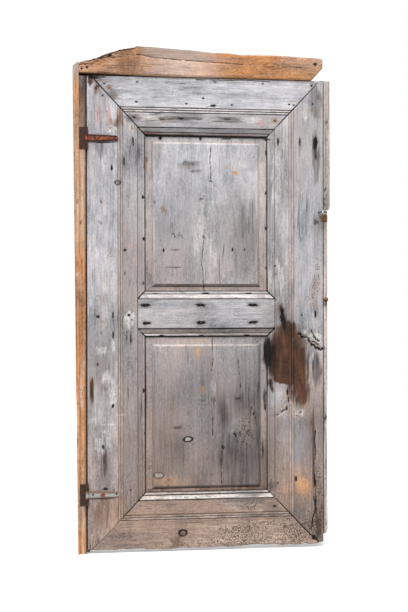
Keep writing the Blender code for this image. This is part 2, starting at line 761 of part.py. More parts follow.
def make_strap(name, finish, height):
    """Tapered strap on the leaf with the middle knuckle at its root."""
    root = STRAP_ROOT_HEIGHT / 2
    tip = STRAP_TIP_HEIGHT / 2
    tip_x = STRAP_LENGTH - tip
    outline = [(0, root), (0, -root)] + arc((tip_x, 0), tip, -90, 90)
    flat_front = KNUCKLE_RADIUS - METAL_THICKNESS
    place = (0, 0, height)
    strap = add_object(name, prism_mesh(
        name, outline, flat_front, KNUCKLE_RADIUS, "Y"), leaf_pivot, place, finish)
    knuckle = rod_mesh(name + "_knuckle", KNUCKLE_RADIUS, -root, root)
    join(strap, "UNION", add_object(name + "_knuckle", knuckle, leaf_pivot, place, None))
    bore = rod_mesh(name + "_bore", PIN_RADIUS + PIN_CLEARANCE, -root - OVERCUT, root + OVERCUT)
    join(strap, "DIFFERENCE", add_object(name + "_bore", bore, leaf_pivot, place, None))


HINGES = {
    "top": (LEAF_HEIGHT - TOP_HINGE_DROP, RUSTY_STEEL),
    "bottom": (BOTTOM_HINGE_RISE, ZINC_STEEL),
}
for hinge, (rise, metal) in HINGES.items():
    make_plate(hinge + "_hinge_plate", metal, FLOOR_CLEARANCE + rise)
    make_pin(hinge + "_hinge_pin", metal, FLOOR_CLEARANCE + rise)
    make_strap(hinge + "_hinge_strap", metal, rise)


# Staple, padlock and pull

def staple_path():
    """Wire from one leg's point, out along the bar and back to the other leg's point."""
    half = STAPLE_SPAN / 2
    inset = half - STAPLE_BEND
    bend_y = -STAPLE_STANDOFF + STAPLE_BEND
    left = arc((-inset, bend_y), STAPLE_BEND, 180, 270, ARC_STEPS // 2)
    right = arc((inset, bend_y), STAPLE_BEND, 270, 360, ARC_STEPS // 2)
    flat = [(-half, STAPLE_BITE)] + left + right + [(half, STAPLE_BITE)]
    return [(STAPLE_X + x, y, STAPLE_Z) for x, y in flat]


def make_staple():
    leaf_part("lock_staple", wire_mesh("lock_staple", staple_path(), STAPLE_RADIUS), DARK_STEEL)
    hole_radius = STAPLE_RADIUS + SEAT_GAP * 2
    for carrier, side in ((lock_stile, -1), (lower_strip, 1)):
        centre = (STAPLE_X + side * STAPLE_SPAN / 2, 0, STAPLE_Z)
        name = carrier.name + "_staple_hole"
        hole = rod_mesh(name, hole_radius, -OVERCUT, STAPLE_BITE + SEAT_GAP, centre, "Y")
        join(carrier, "DIFFERENCE", leaf_cutter(name, hole))


def make_padlock():
    """Padlock hung on the staple's bar: shackle, body with its bores, and key plug."""
    bar = LEAF_OFFSET + Vector((STAPLE_X + PADLOCK_SHIFT, -STAPLE_STANDOFF, STAPLE_Z))
    hang = pivot("padlock_pivot", bar, leaf_pivot)
    hang.rotation_euler = (0, 0, PADLOCK_TURN)
    centre = (0, 0, 0)
    bow = arc((0, -BOW_DROP), SHACKLE_BOW, 180, 0, 2 * ARC_STEPS)
    path = [(-SHACKLE_BOW, LOCK_TOP - LONG_LEG_BITE)] + bow
    path.append((SHACKLE_BOW, LOCK_TOP - SHORT_LEG_BITE))
    shackle = wire_mesh("shackle", [(x, 0, z) for x, z in path], SHACKLE_RADIUS)
    shackle.shade_smooth()
    add_object("shackle", shackle, hang, centre, BRIGHT_STEEL)
    half_width = LOCK_WIDTH / 2
    half_thick = LOCK_THICKNESS / 2
    body = add_object("padlock_body", box_mesh(
        "padlock_body", (-half_width, -half_thick, LOCK_BASE),
        (half_width, half_thick, LOCK_TOP)), hang, centre, BRASS)
    soften(body, LOCK_ROUND, 2)
    leg_hole = SHACKLE_RADIUS + SEAT_GAP * 2
    holes = {
        "long_leg_hole": (leg_hole, -SHACKLE_BOW, LOCK_TOP - LONG_LEG_BITE - SEAT_GAP,
                          LOCK_TOP + OVERCUT),
        "short_leg_hole": (leg_hole, SHACKLE_BOW, LOCK_TOP - SHORT_LEG_BITE - SEAT_GAP,
                           LOCK_TOP + OVERCUT),
        "plug_bore": (PLUG_RADIUS + SEAT_GAP, 0, LOCK_BASE - OVERCUT,
                      LOCK_BASE + PLUG_LENGTH + SEAT_GAP),
    }
    for name, (radius, across, low, high) in holes.items():
        hole = rod_mesh(name, radius, low, high, (across, 0, 0))
        join(body, "DIFFERENCE", add_object(name, hole, hang, centre, None))
    plug = rod_mesh("padlock_plug", PLUG_RADIUS, LOCK_BASE, LOCK_BASE + PLUG_LENGTH)
    plug = add_object("padlock_plug", plug, hang, centre, BRIGHT_STEEL)
    keyway = box_mesh("keyway", (-KEYWAY_WIDTH / 2, -KEYWAY_HEIGHT / 2, LOCK_BASE - OVERCUT),
                      (KEYWAY_WIDTH / 2, KEYWAY_HEIGHT / 2, LOCK_BASE + KEYWAY_DEPTH))
    join(plug, "DIFFERENCE", add_object("keyway", keyway, hang, centre, None))


def make_knob():
    """Turned brass pull with its shank let into the lower strip."""
    head = [(KNOB_RADIUS * x, KNOB_PROJECTION + KNOB_RADIUS * 0.55 * (z - 1))
            for x, z in arc((0, 0), 1, 90, -60)]
    points = [(0, KNOB_PROJECTION)] + head[1:]
    points += [
        (KNOB_NECK_RADIUS, KNOB_BASE_HEIGHT + KNOB_RADIUS * 0.3),
        (KNOB_BASE_RADIUS, KNOB_BASE_HEIGHT), (KNOB_BASE_RADIUS, SEAT_GAP),
        (KNOB_SHANK_RADIUS, SEAT_GAP), (KNOB_SHANK_RADIUS, -KNOB_SHANK_LENGTH),
        (0, -KNOB_SHANK_LENGTH),
    ]
    middle_x = LEAF_WIDTH + LOWER_STRIP_WIDTH / 2
    seat = Vector((middle_x, STRIP_SETBACK, KNOB_RISE))
    knob = add_object("edge_knob", profile_mesh("edge_knob", points), leaf_pivot,
                      LEAF_OFFSET + seat, BRASS)
    knob.rotation_euler = (math.pi / 2, 0, 0)
    turn_profile(knob)
    hole = rod_mesh("knob_hole", KNOB_SHANK_RADIUS + SEAT_GAP, -OVERCUT,
                    STRIP_SETBACK + KNOB_SHANK_LENGTH + SEAT_GAP, (middle_x, 0, KNOB_RISE), "Y")
    join(lower_strip, "DIFFERENCE", leaf_cutter("knob_hole", hole))


make_staple()
make_padlock()
make_knob()
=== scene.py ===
import math

import bpy
import numpy as np
from mathutils import Matrix, Vector


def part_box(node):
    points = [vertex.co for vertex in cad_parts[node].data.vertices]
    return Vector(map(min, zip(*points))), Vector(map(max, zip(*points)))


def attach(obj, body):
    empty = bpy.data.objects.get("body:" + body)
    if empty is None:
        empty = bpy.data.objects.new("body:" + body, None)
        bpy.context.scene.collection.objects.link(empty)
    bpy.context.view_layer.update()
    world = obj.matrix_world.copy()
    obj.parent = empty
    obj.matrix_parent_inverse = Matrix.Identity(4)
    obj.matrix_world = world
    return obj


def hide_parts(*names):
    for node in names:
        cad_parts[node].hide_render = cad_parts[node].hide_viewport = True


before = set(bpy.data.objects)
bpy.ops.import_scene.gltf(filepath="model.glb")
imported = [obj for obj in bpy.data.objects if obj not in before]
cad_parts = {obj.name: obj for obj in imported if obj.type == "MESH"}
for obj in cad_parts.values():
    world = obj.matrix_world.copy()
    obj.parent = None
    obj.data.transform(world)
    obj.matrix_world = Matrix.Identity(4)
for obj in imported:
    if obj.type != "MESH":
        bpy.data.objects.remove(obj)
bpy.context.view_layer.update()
print("frame loaded,", len(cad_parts), "nodes")


def srgb(red, green, blue):  # screen colour, 0 to 255, as the linear colour that shaders use
    level = np.array([red, green, blue]) / 255
    linear = np.where(level <= 0.04045, level / 12.92, ((level + 0.055) / 1.055) ** 2.4)
    return (*linear.tolist(), 1.0)


def cellValue(i, j, seed):  # a repeatable value from 0 to 1 for every lattice point
    wave = np.sin(i * 127.1 + j * 311.7 + seed * 74.7) * 43758.5453
    return wave - np.floor(wave)


def smoothNoise(u, v, seed):
    # the four lattice values round each point, blended by t*t*(3 - 2t) both ways
    i, j = np.floor(u), np.floor(v)
    tu, tv = u - i, v - j
    su, sv = tu * tu * (3 - 2 * tu), tv * tv * (3 - 2 * tv)
    near = cellValue(i, j, seed) * (1 - su) + cellValue(i + 1, j, seed) * su
    far = cellValue(i, j + 1, seed) * (1 - su) + cellValue(i + 1, j + 1, seed) * su
    return near * (1 - sv) + far * sv


def layeredNoise(u, v, seed, layers=3):
    # each layer has twice the frequency and half the weight of the one before
    weights = 0.5 ** np.arange(layers)
    total = sum(w * smoothNoise(u * 2 ** k, v * 2 ** k, seed + 13 * k) for k, w in enumerate(weights))
    return total / weights.sum()


def easeStep(value, low, high):  # 0 below low, 1 above high, smooth between
    t = np.clip((value - low) / (high - low), 0, 1)
    return t * t * (3 - 2 * t)


def byPlace(place, rows):  # straight lines between listed places and amounts
    return np.interp(place, *np.array(rows).T)


def metres(rows):  # places and sizes that are listed in millimetres
    return np.array(rows) / 1000


def strongest(masks, name, field):  # the greater of a mask and a new field at every point
    masks[name] = np.maximum(masks[name], field)


def gridPoints(x, y, z):  # three fields as one array of points
    return np.stack(np.broadcast_arrays(x, y, z), -1)


# Meshes: a shell is a closed section carried along a path, points[station, round the section]

maskNames = ("warm", "soot", "stain", "grime", "bleach", "ochre", "paint", "rot")
sharpAngle = math.radians(35)


def signedVolume(points):
    # sum of the tetrahedra from the origin to every face; negative when the faces point inwards
    beside = np.roll(points, -1, axis=1)
    a, b, c, d = points[:-1], beside[:-1], beside[1:], points[1:]
    total = (a * (np.cross(b, c) + np.cross(c, d))).sum()
    for ring in (points[0][::-1], points[-1]):
        total += (ring.mean(0) * np.cross(ring, np.roll(ring, -1, axis=0))).sum()
    return total


def buildMesh(name, shells):
    # quads between neighbouring stations, wrapped round the section, and one polygon on each end
    coords, corners, starts = [], [], []
    masks = {mask: [] for mask in maskNames}
    vertexCount = cornerCount = 0
    for points, shellMasks in shells:
        rows, cols = points.shape[:2]
        index = np.arange(rows * cols).reshape(rows, cols)
        if signedVolume(points) < 0:
            index = index[:, ::-1]
        beside = np.roll(index, -1, axis=1)
        quads = np.stack([index[:-1], beside[:-1], beside[1:], index[1:]], axis=-1).ravel()
        corners.append(np.concatenate([quads, index[0][::-1], index[-1]]) + vertexCount)
        quadCount = (rows - 1) * cols
        ends = [quadCount * 4, quadCount * 4 + cols]
        starts.append(np.concatenate([np.arange(quadCount) * 4, ends]) + cornerCount)
        coords.append(points.reshape(-1, 3))
        for mask in maskNames:
            field = np.broadcast_to(shellMasks.get(mask, 0.0), (rows, cols))
            masks[mask].append(field.ravel())
        vertexCount += rows * cols
        cornerCount += len(corners[-1])
    mesh = bpy.data.meshes.new(name)
    coords, corners, starts = map(np.concatenate, (coords, corners, starts))
    mesh.vertices.add(len(coords))
    mesh.vertices.foreach_set("co", coords.astype(np.float32).ravel())
    mesh.loops.add(len(corners))
    mesh.loops.foreach_set("vertex_index", corners.astype(np.int32))
    mesh.polygons.add(len(starts))
    mesh.polygons.foreach_set("loop_start", starts.astype(np.int32))
    mesh.update(calc_edges=True)
    mesh.validate()
    for mask, fields in masks.items():
        layer = mesh.attributes.new(mask, "FLOAT", "POINT")
        layer.data.foreach_set("value", np.clip(np.concatenate(fields), 0, 1).astype(np.float32))
    return mesh


def addPiece(name, shells, material, body, nodes=()):
    # faces turn sharp where they meet at more than the sharp angle
    mesh = buildMesh(name, shells)
    mesh.polygons.foreach_set("use_smooth", np.ones(len(mesh.polygons), bool))
    mesh.set_sharp_from_angle(angle=sharpAngle)
    mesh.materials.append(material)
    piece = bpy.data.objects.new(name, mesh)
    bpy.context.scene.collection.objects.link(piece)
    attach(piece, body)
    if nodes:
        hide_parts(*nodes)


# Shader parts

def plug(tree, socket, value):  # links a socket, or sets a plain value
    if isinstance(value, bpy.types.NodeSocket):
        tree.links.new(value, socket)
    else:
        socket.default_value = value


def addNode(tree, kind, sockets=None, **settings):  # a node with its settings and sockets filled in
    made = tree.nodes.new(kind)
    for key, value in settings.items():
        setattr(made, key, value)
    for key, value in (sockets or {}).items():
        plug(tree, made.inputs[key], value)
    return made


def calc(tree, operation, first, second=0.0, clamp=False):  # one operation on two values
    sockets = {0: first, 1: second}
    return addNode(tree, "ShaderNodeMath", sockets, operation=operation, use_clamp=clamp).outputs[0]


def spread(tree, value, low, high):  # smooth step from 0 at low to 1 at high
    sockets = {"Value": value, "From Min": low, "From Max": high}
    return addNode(tree, "ShaderNodeMapRange", sockets, interpolation_type="SMOOTHSTEP").outputs[0]


def tint(tree, factor, first, second):  # first where factor is 0, second where it is 1
    sockets = {0: factor, 6: first, 7: second}
    return addNode(tree, "ShaderNodeMix", sockets, data_type="RGBA").outputs[2]


def scaleColour(tree, colour, amount):  # every channel times the amount
    sockets = {0: colour, "Scale": amount}
    return addNode(tree, "ShaderNodeVectorMath", sockets, operation="SCALE").outputs[0]


def stretched(tree, vector, across, along, detail, rough):  # noise drawn out along local Z
    sockets = {0: vector, 1: (across, across, along)}
    drawn = addNode(tree, "ShaderNodeVectorMath", sockets, operation="MULTIPLY").outputs[0]
    sockets = {"Vector": drawn, "Scale": 1.0, "Detail": detail, "Roughness": rough}
    return addNode(tree, "ShaderNodeTexNoise", sockets).outputs["Fac"]


def newGroup(name, inputs, outputs):  # an empty group, with its inner inputs and outputs
    tree = bpy.data.node_groups.new(name, "ShaderNodeTree")
    kinds = dict(value="NodeSocketFloat", vector="NodeSocketVector", colour="NodeSocketColor")
    for way, rows in (("INPUT", inputs), ("OUTPUT", outputs)):
        for label, kind in rows:
            tree.interface.new_socket(label, in_out=way, socket_type=kinds[kind])
    return tree, tree.nodes.new("NodeGroupInput").outputs, tree.nodes.new("NodeGroupOutput").inputs


def newMaterial(name):  # a material, its tree and its Principled shader
    material = bpy.data.materials.new(name)
    material.use_nodes = True
    return material, material.node_tree, material.node_tree.nodes["Principled BSDF"]


# Noises of the grain: frequency across and along the fibres, detail and roughness
grainNoise = dict(
    Bands=(26, 1.1, 2.0, 0.55), Streaks=(95, 4.0, 3.0, 0.6), Specks=(260, 110, 2.0, 0.55),
    Fibres=(300, 13, 3.0, 0.6), Clouds=(8, 3.4, 3.0, 0.55), Mottle=(45, 20, 4.0, 0.6),
)
checkNoise = dict(
    flecks=(120, 19, 3.0, 0.6), patches=(9, 2.4, 2.0, 0.55), contour=(46, 0.9, 1.0, 0.55),
    gate=(14, 3.4, 2.0, 0.55), fleckRange=(0.57, 0.69), patchRange=(0.47, 0.62), gateRange=(0.52, 0.62),
    halfWidth=0.014, driftScale=2.6, drift=0.03,
)
grainNames = (*grainNoise, "Flecks", "Checks")


def makeGrainGroup():
    # noises drawn out along fibres that drift, short flecks inside some patches, and dark drying checks where
    # a slow noise crosses 0.5
    outputs = [(label, "value") for label in grainNames]
    tree, given, result = newGroup("oldGrain", [("Vector", "vector")], outputs)
    sockets = {"Vector": given["Vector"], "Scale": checkNoise["driftScale"], "Detail": 1.0}
    sockets = {0: addNode(tree, "ShaderNodeTexNoise", sockets).outputs["Color"], 1: (0.5, 0.5, 0.5)}
    bend = addNode(tree, "ShaderNodeVectorMath", sockets, operation="SUBTRACT").outputs[0]
    sockets = {0: given["Vector"], 1: scaleColour(tree, bend, checkNoise["drift"])}
    vector = addNode(tree, "ShaderNodeVectorMath", sockets).outputs[0]
    for label, form in grainNoise.items():
        plug(tree, result[label], stretched(tree, vector, *form))
    flecks = spread(tree, stretched(tree, vector, *checkNoise["flecks"]), *checkNoise["fleckRange"])
    patches = spread(tree, stretched(tree, vector, *checkNoise["patches"]), *checkNoise["patchRange"])
    plug(tree, result["Flecks"], calc(tree, "MULTIPLY", flecks, patches))
    contour = calc(tree, "SUBTRACT", stretched(tree, vector, *checkNoise["contour"]), 0.5)
    line = spread(tree, calc(tree, "ABSOLUTE", contour), 0.0, checkNoise["halfWidth"])
    gate = spread(tree, stretched(tree, vector, *checkNoise["gate"]), *checkNoise["gateRange"])
    plug(tree, result["Checks"], calc(tree, "MULTIPLY", calc(tree, "SUBTRACT", 1.0, line), gate))
    return tree


weatherTones = dict(
    soot=(88, 82, 80), bleach=(228, 225, 223), flake=(92, 84, 80), ochre=(200, 152, 108),
    paint=(194, 142, 140), stainDark=(60, 47, 41), stainBright=(106, 71, 50), rot=(210, 187, 171),
    wormhole=(64, 49, 42), fleck=(86, 76, 72), check=(66, 56, 52), grime=(32, 26, 24),
)
# How far each of them covers the wood at most
weatherCover = dict(bleach=0.78, flake=0.7, paint=0.8, rot=0.35, wormhole=0.85, fleck=0.42, check=0.6)
wormNoise = {"Scale": 225.0, "Detail": 3.0, "Roughness": 0.6}


def makeWeatherGroup():
    # silver wood turned brown by warm, then darkened by soot and painted shade, bleached and lit by painted
    # highlights, bared, painted, stained, eaten, and soiled and darkened by painted shade
    inputs = [("Vector", "vector"), ("Silver", "colour"), ("Umber", "colour"), ("Depth", "value")]
    inputs += [(label, "value") for label in (*grainNames, *(mask.capitalize() for mask in maskNames))]
    tree, given, result = newGroup("weatherTint", inputs, [("Color", "colour"), ("Height", "value")])

    def times(first, second, clamp=False):
        return calc(tree, "MULTIPLY", first, second, clamp)

    def total(*values):
        for value in values[1:]:
            values = (calc(tree, "ADD", values[0], value),)
        return values[0]

    def mixed(base, **amounts):  # a value plus noises centred on zero, each times its amount
        centred = {name: calc(tree, "SUBTRACT", given[name], 0.5) for name in amounts}
        return total(base, *(times(centred[name], amount) for name, amount in amounts.items()))

    def cover(mask, label, low, high, amount=1.0):  # a mask broken up by one of the grain's noises
        return times(times(given[mask], spread(tree, given[label], low, high)), amount, True)

    def frayed(mask, low, high, full, **amounts):  # a mask with noise added, nothing where it is zero
        ragged = spread(tree, mixed(given[mask], **amounts), low, high)
        return times(ragged, spread(tree, given[mask], 0.0, full))

    def tone(name):
        return srgb(*weatherTones[name])

    def shaded(name):  # a tone under the same light and dark grain as the wood
        return scaleColour(tree, tone(name)[:3], shade)

    warmth = mixed(given["Warm"], Bands=0.5, Streaks=0.25, Clouds=0.9)
    colour = tint(tree, calc(tree, "ADD", warmth, 0.0, True), given["Silver"], given["Umber"])
    grit = times(mixed(0.0, Specks=1.0), total(0.75, times(given["Warm"], 0.8)))
    lines = times(mixed(0.0, Streaks=0.85, Fibres=1.0), given["Depth"])
    shade = mixed(total(1.0, lines, grit), Bands=0.6, Clouds=1.9, Mottle=0.8)
    colour = scaleColour(tree, colour, shade)
    # soot and painted shade: darker where the wood is sooty, and beside the leaf on the hinge post where
    # shade is painted
    sootinessAndShade = times(given["Soot"], mixed(0.75, Streaks=1.1, Clouds=1.2, Mottle=0.8), True)
    colour = tint(tree, sootinessAndShade, colour, tone("soot"))
    # bleaching and painted highlight: pale where the wood is bleached, and on up-facing ledges and bevels
    # where light is painted
    paleAndHighlight = frayed("Bleach", 0.1, 0.9, 0.3, Mottle=1.0, Fibres=0.7)
    colour = tint(tree, times(paleAndHighlight, weatherCover["bleach"]), colour, shaded("bleach"))
    flakes = cover("Bleach", "Mottle", 0.56, 0.62, weatherCover["flake"])
    colour = tint(tree, flakes, colour, tone("flake"))
    # ochre and painted highlight: warm where the wood is stained, and a painted highlight on the head beam's
    # lower arris
    colour = tint(tree, cover("Ochre", "Mottle", 0.24, 0.5), colour, shaded("ochre"))
    painted = cover("Paint", "Streaks", 0.3, 0.62, weatherCover["paint"])
    colour = tint(tree, painted, colour, shaded("paint"))
    rusty = spread(tree, mixed(0.5, Mottle=0.8, Streaks=0.45, Bands=0.5), 0.25, 0.75)
    brown = tint(tree, rusty, tone("stainDark"), tone("stainBright"))
    brown = scaleColour(tree, brown, mixed(1.0, Streaks=0.8, Specks=1.3, Fibres=0.9))
    stained = frayed("Stain", 0.1, 0.9, 0.3, Streaks=1.0, Specks=0.5, Mottle=0.7)
    colour = tint(tree, stained, colour, brown)
    sockets = {"Vector": given["Vector"]} | wormNoise
    worms = addNode(tree, "ShaderNodeTexNoise", sockets).outputs["Fac"]
    reach = times(calc(tree, "SUBTRACT", given["Rot"], 1.0), 0.2)
    eaten = spread(tree, total(worms, reach), 0.48, 0.56)
    colour = tint(tree, times(given["Rot"], weatherCover["rot"]), colour, shaded("rot"))
    colour = tint(tree, times(eaten, weatherCover["wormhole"]), colour, tone("wormhole"))
    colour = tint(tree, times(given["Flecks"], weatherCover["fleck"]), colour, tone("fleck"))
    colour = tint(tree, times(given["Checks"], weatherCover["check"]), colour, tone("check"))
    # grime and painted shade: near black where dirt lies, and where shade is painted in creases, gaps and
    # under parts
    grimyAndShaded = frayed("Grime", 0.1, 0.88, 0.2, Specks=0.8, Fibres=0.5)
    plug(tree, result["Color"], tint(tree, grimyAndShaded, colour, tone("grime")))
    rough = total(given["Streaks"], times(given["Fibres"], 0.6), times(given["Checks"], -0.8))
    rough = total(rough, times(given["Flecks"], -0.5))
    plug(tree, result["Height"], calc(tree, "SUBTRACT", rough, times(eaten, 0.9)))
    return tree


rustNoise = dict(edge=0.08, finer=4.3, tones=(0.36, 0.62))


def makeRustGroup():
    # rust spreads where a cloudy noise passes the cover level; its colour runs from dark to orange
    inputs = [("Vector", "vector"), ("Cover", "value"), ("Scale", "value")]
    inputs += [("Dark", "colour"), ("Bright", "colour")]
    outputs = [("Mask", "value"), ("Color", "colour"), ("Height", "value")]
    tree, given, result = newGroup("rustBloom", inputs, outputs)
    sockets = {"Vector": given["Vector"], "Scale": given["Scale"], "Detail": 5.0, "Roughness": 0.65}
    cloud = addNode(tree, "ShaderNodeTexNoise", sockets).outputs["Fac"]
    level = calc(tree, "SUBTRACT", 1.0, given["Cover"])
    low, high = (calc(tree, way, level, rustNoise["edge"]) for way in ("SUBTRACT", "ADD"))
    mask = spread(tree, cloud, low, high)
    finer = calc(tree, "MULTIPLY", given["Scale"], rustNoise["finer"])
    sockets = {"Vector": given["Vector"], "Scale": finer, "Detail": 4.0, "Roughness": 0.7}
    fleck = addNode(tree, "ShaderNodeTexNoise", sockets).outputs["Fac"]
    shade = tint(tree, spread(tree, fleck, *rustNoise["tones"]), given["Dark"], given["Bright"])
    plug(tree, result["Mask"], mask)
    plug(tree, result["Color"], shade)
    plug(tree, result["Height"], calc(tree, "MULTIPLY", mask, fleck))
    return tree


grainGroup, weatherGroup, rustGroup = makeGrainGroup(), makeWeatherGroup(), makeRustGroup()

woodFinish = dict(bump=0.35, bumpDepth=0.0012, roughness=0.9, specular=0.22)


def woodMaterial(name, grain, silver, umber, shift, depth=1.0):
    # grain names the axis that the fibres follow; a quarter turn of the mapping lays local Z along X
    material, tree, shader = newMaterial(name)
    place = addNode(tree, "ShaderNodeTexCoord").outputs["Object"]
    turn = (0, math.pi / 2, 0) if grain == "X" else (0, 0, 0)
    sockets = {"Vector": place, "Location": shift, "Rotation": turn}
    mapped = addNode(tree, "ShaderNodeMapping", sockets).outputs[0]
    fibres = addNode(tree, "ShaderNodeGroup", node_tree=grainGroup)
    plug(tree, fibres.inputs["Vector"], mapped)
    sockets = {"Vector": mapped, "Silver": srgb(*silver), "Umber": srgb(*umber), "Depth": depth}
    sockets |= {label: fibres.outputs[label] for label in grainNames}
    for mask in maskNames:
        sockets[mask.capitalize()] = addNode(tree, "ShaderNodeAttribute", attribute_name=mask).outputs["Fac"]
    weather = addNode(tree, "ShaderNodeGroup", sockets, node_tree=weatherGroup).outputs
    sockets = {"Strength": woodFinish["bump"], "Distance": woodFinish["bumpDepth"]}
    sockets["Height"] = weather["Height"]
    plug(tree, shader.inputs["Base Color"], weather["Color"])
    plug(tree, shader.inputs["Normal"], addNode(tree, "ShaderNodeBump", sockets).outputs["Normal"])
    shader.inputs["Roughness"].default_value = woodFinish["roughness"]
    shader.inputs["Specular IOR Level"].default_value = woodFinish["specular"]
    return material


rustFinish = dict(
    roughness=0.9, bumpDepth=0.0006, rimWaver=0.012, rimStart=0.006, rimEnd=0.009, rimCover=0.9,
    smudgeScale=0.6, smudgeLow=0.6, smudgeRange=0.8,
)


def metalMaterial(name, bare, metallic, roughness, cover, scale, rust, spot=None, rim=None, bump=0.3):
    # bare metal with rust over it: the rust is rough and not metallic, and thicker round a spot; a strap's
    # rim is coated where the height above its middle, plus its taper, comes near the half height
    material, tree, shader = newMaterial(name)
    place = addNode(tree, "ShaderNodeTexCoord").outputs["Object"]
    if spot:
        sockets = {0: place, 1: spot["place"]}
        gap = addNode(tree, "ShaderNodeVectorMath", sockets, operation="DISTANCE").outputs["Value"]
        near = calc(tree, "SUBTRACT", 1.0, spread(tree, gap, 0.0, spot["radius"]))
        cover = calc(tree, "ADD", cover, calc(tree, "MULTIPLY", near, spot["cover"]))
    dark, bright = (srgb(*tone) for tone in rust)
    sockets = {"Vector": place, "Cover": cover, "Scale": scale, "Dark": dark, "Bright": bright}
    bloom = addNode(tree, "ShaderNodeGroup", sockets, node_tree=rustGroup).outputs
    sockets = {"Vector": place, "Scale": scale * rustFinish["smudgeScale"], "Detail": 3.0}
    smudge = addNode(tree, "ShaderNodeTexNoise", sockets).outputs["Fac"]
    uneven = calc(tree, "MULTIPLY", smudge, rustFinish["smudgeRange"])
    uneven = calc(tree, "ADD", rustFinish["smudgeLow"], uneven)
    mask = bloom["Mask"]
    colour = tint(tree, mask, scaleColour(tree, srgb(*bare)[:3], uneven), bloom["Color"])
    if rim:
        along, _, height = addNode(tree, "ShaderNodeSeparateXYZ", {0: place}).outputs
        away = calc(tree, "ABSOLUTE", calc(tree, "SUBTRACT", height, rim["height"]))
        away = calc(tree, "ADD", away, calc(tree, "MULTIPLY", along, rim["taper"]))
        away = calc(tree, "ADD", away, calc(tree, "MULTIPLY", smudge, rustFinish["rimWaver"]))
        start, end = (rim["clear"] + rustFinish[key] for key in ("rimStart", "rimEnd"))
        coated = spread(tree, away, start, end)
        cover = calc(tree, "MULTIPLY", coated, rustFinish["rimCover"])
        colour = tint(tree, cover, colour, srgb(*rim["colour"]))
        mask = calc(tree, "MAXIMUM", mask, coated)
    plug(tree, shader.inputs["Base Color"], colour)
    clean = calc(tree, "SUBTRACT", 1.0, mask)
    plug(tree, shader.inputs["Metallic"], calc(tree, "MULTIPLY", clean, metallic))
    rougher = calc(tree, "MULTIPLY", mask, rustFinish["roughness"] - roughness)
    plug(tree, shader.inputs["Roughness"], calc(tree, "ADD", roughness, rougher))
    sockets = {"Strength": bump, "Distance": rustFinish["bumpDepth"], "Height": bloom["Height"]}
    plug(tree, shader.inputs["Normal"], addNode(tree, "ShaderNodeBump", sockets).outputs["Normal"])
    return material


greyPalette = dict(silver=(201, 201, 207), umber=(170, 145, 130))


def greyWood(name, look, depth=1.0):  # the leaf's boards share one palette
    return woodMaterial(name + "Wood", look["grain"], **greyPalette, shift=look["shift"], depth=depth)


# Leaf: places are metres from its hinge edge, its bottom edge and its front face

leaf = dict(
    origin=tuple(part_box("hinge_stile")[0]),
    width=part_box("lock_stile")[1].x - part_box("hinge_stile")[0].x,
    height=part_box("hinge_stile")[1].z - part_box("hinge_stile")[0].z,
    stileWidth=0.2215, topWidth=0.2215, bottomWidth=0.2195,
    lowerOpening=(0.2195, 0.8225), upperOpening=(0.996, 1.5985), openingSides=(0.2215, 0.700),
    mitreInset=0.014, mitreGap=0.0016, wornHeight=0.06, ragged=0.008,
    warmth=[
        (0, 1), (0.1, 0.92), (0.25, 0.62), (0.5, 0.45), (0.8, 0.3), (1.0, 0.2), (1.3, 0.12), (1.82, 0.05)],
    bottomLift=metres([
        (0, 2), (120, 3), (200, 1), (330, 0), (430, 1.5), (520, 0), (600, 1), (660, 6), (710, 5), (745, 0),
        (800, 2), (860, 1), (900, 3), (921.5, 12)]),
)

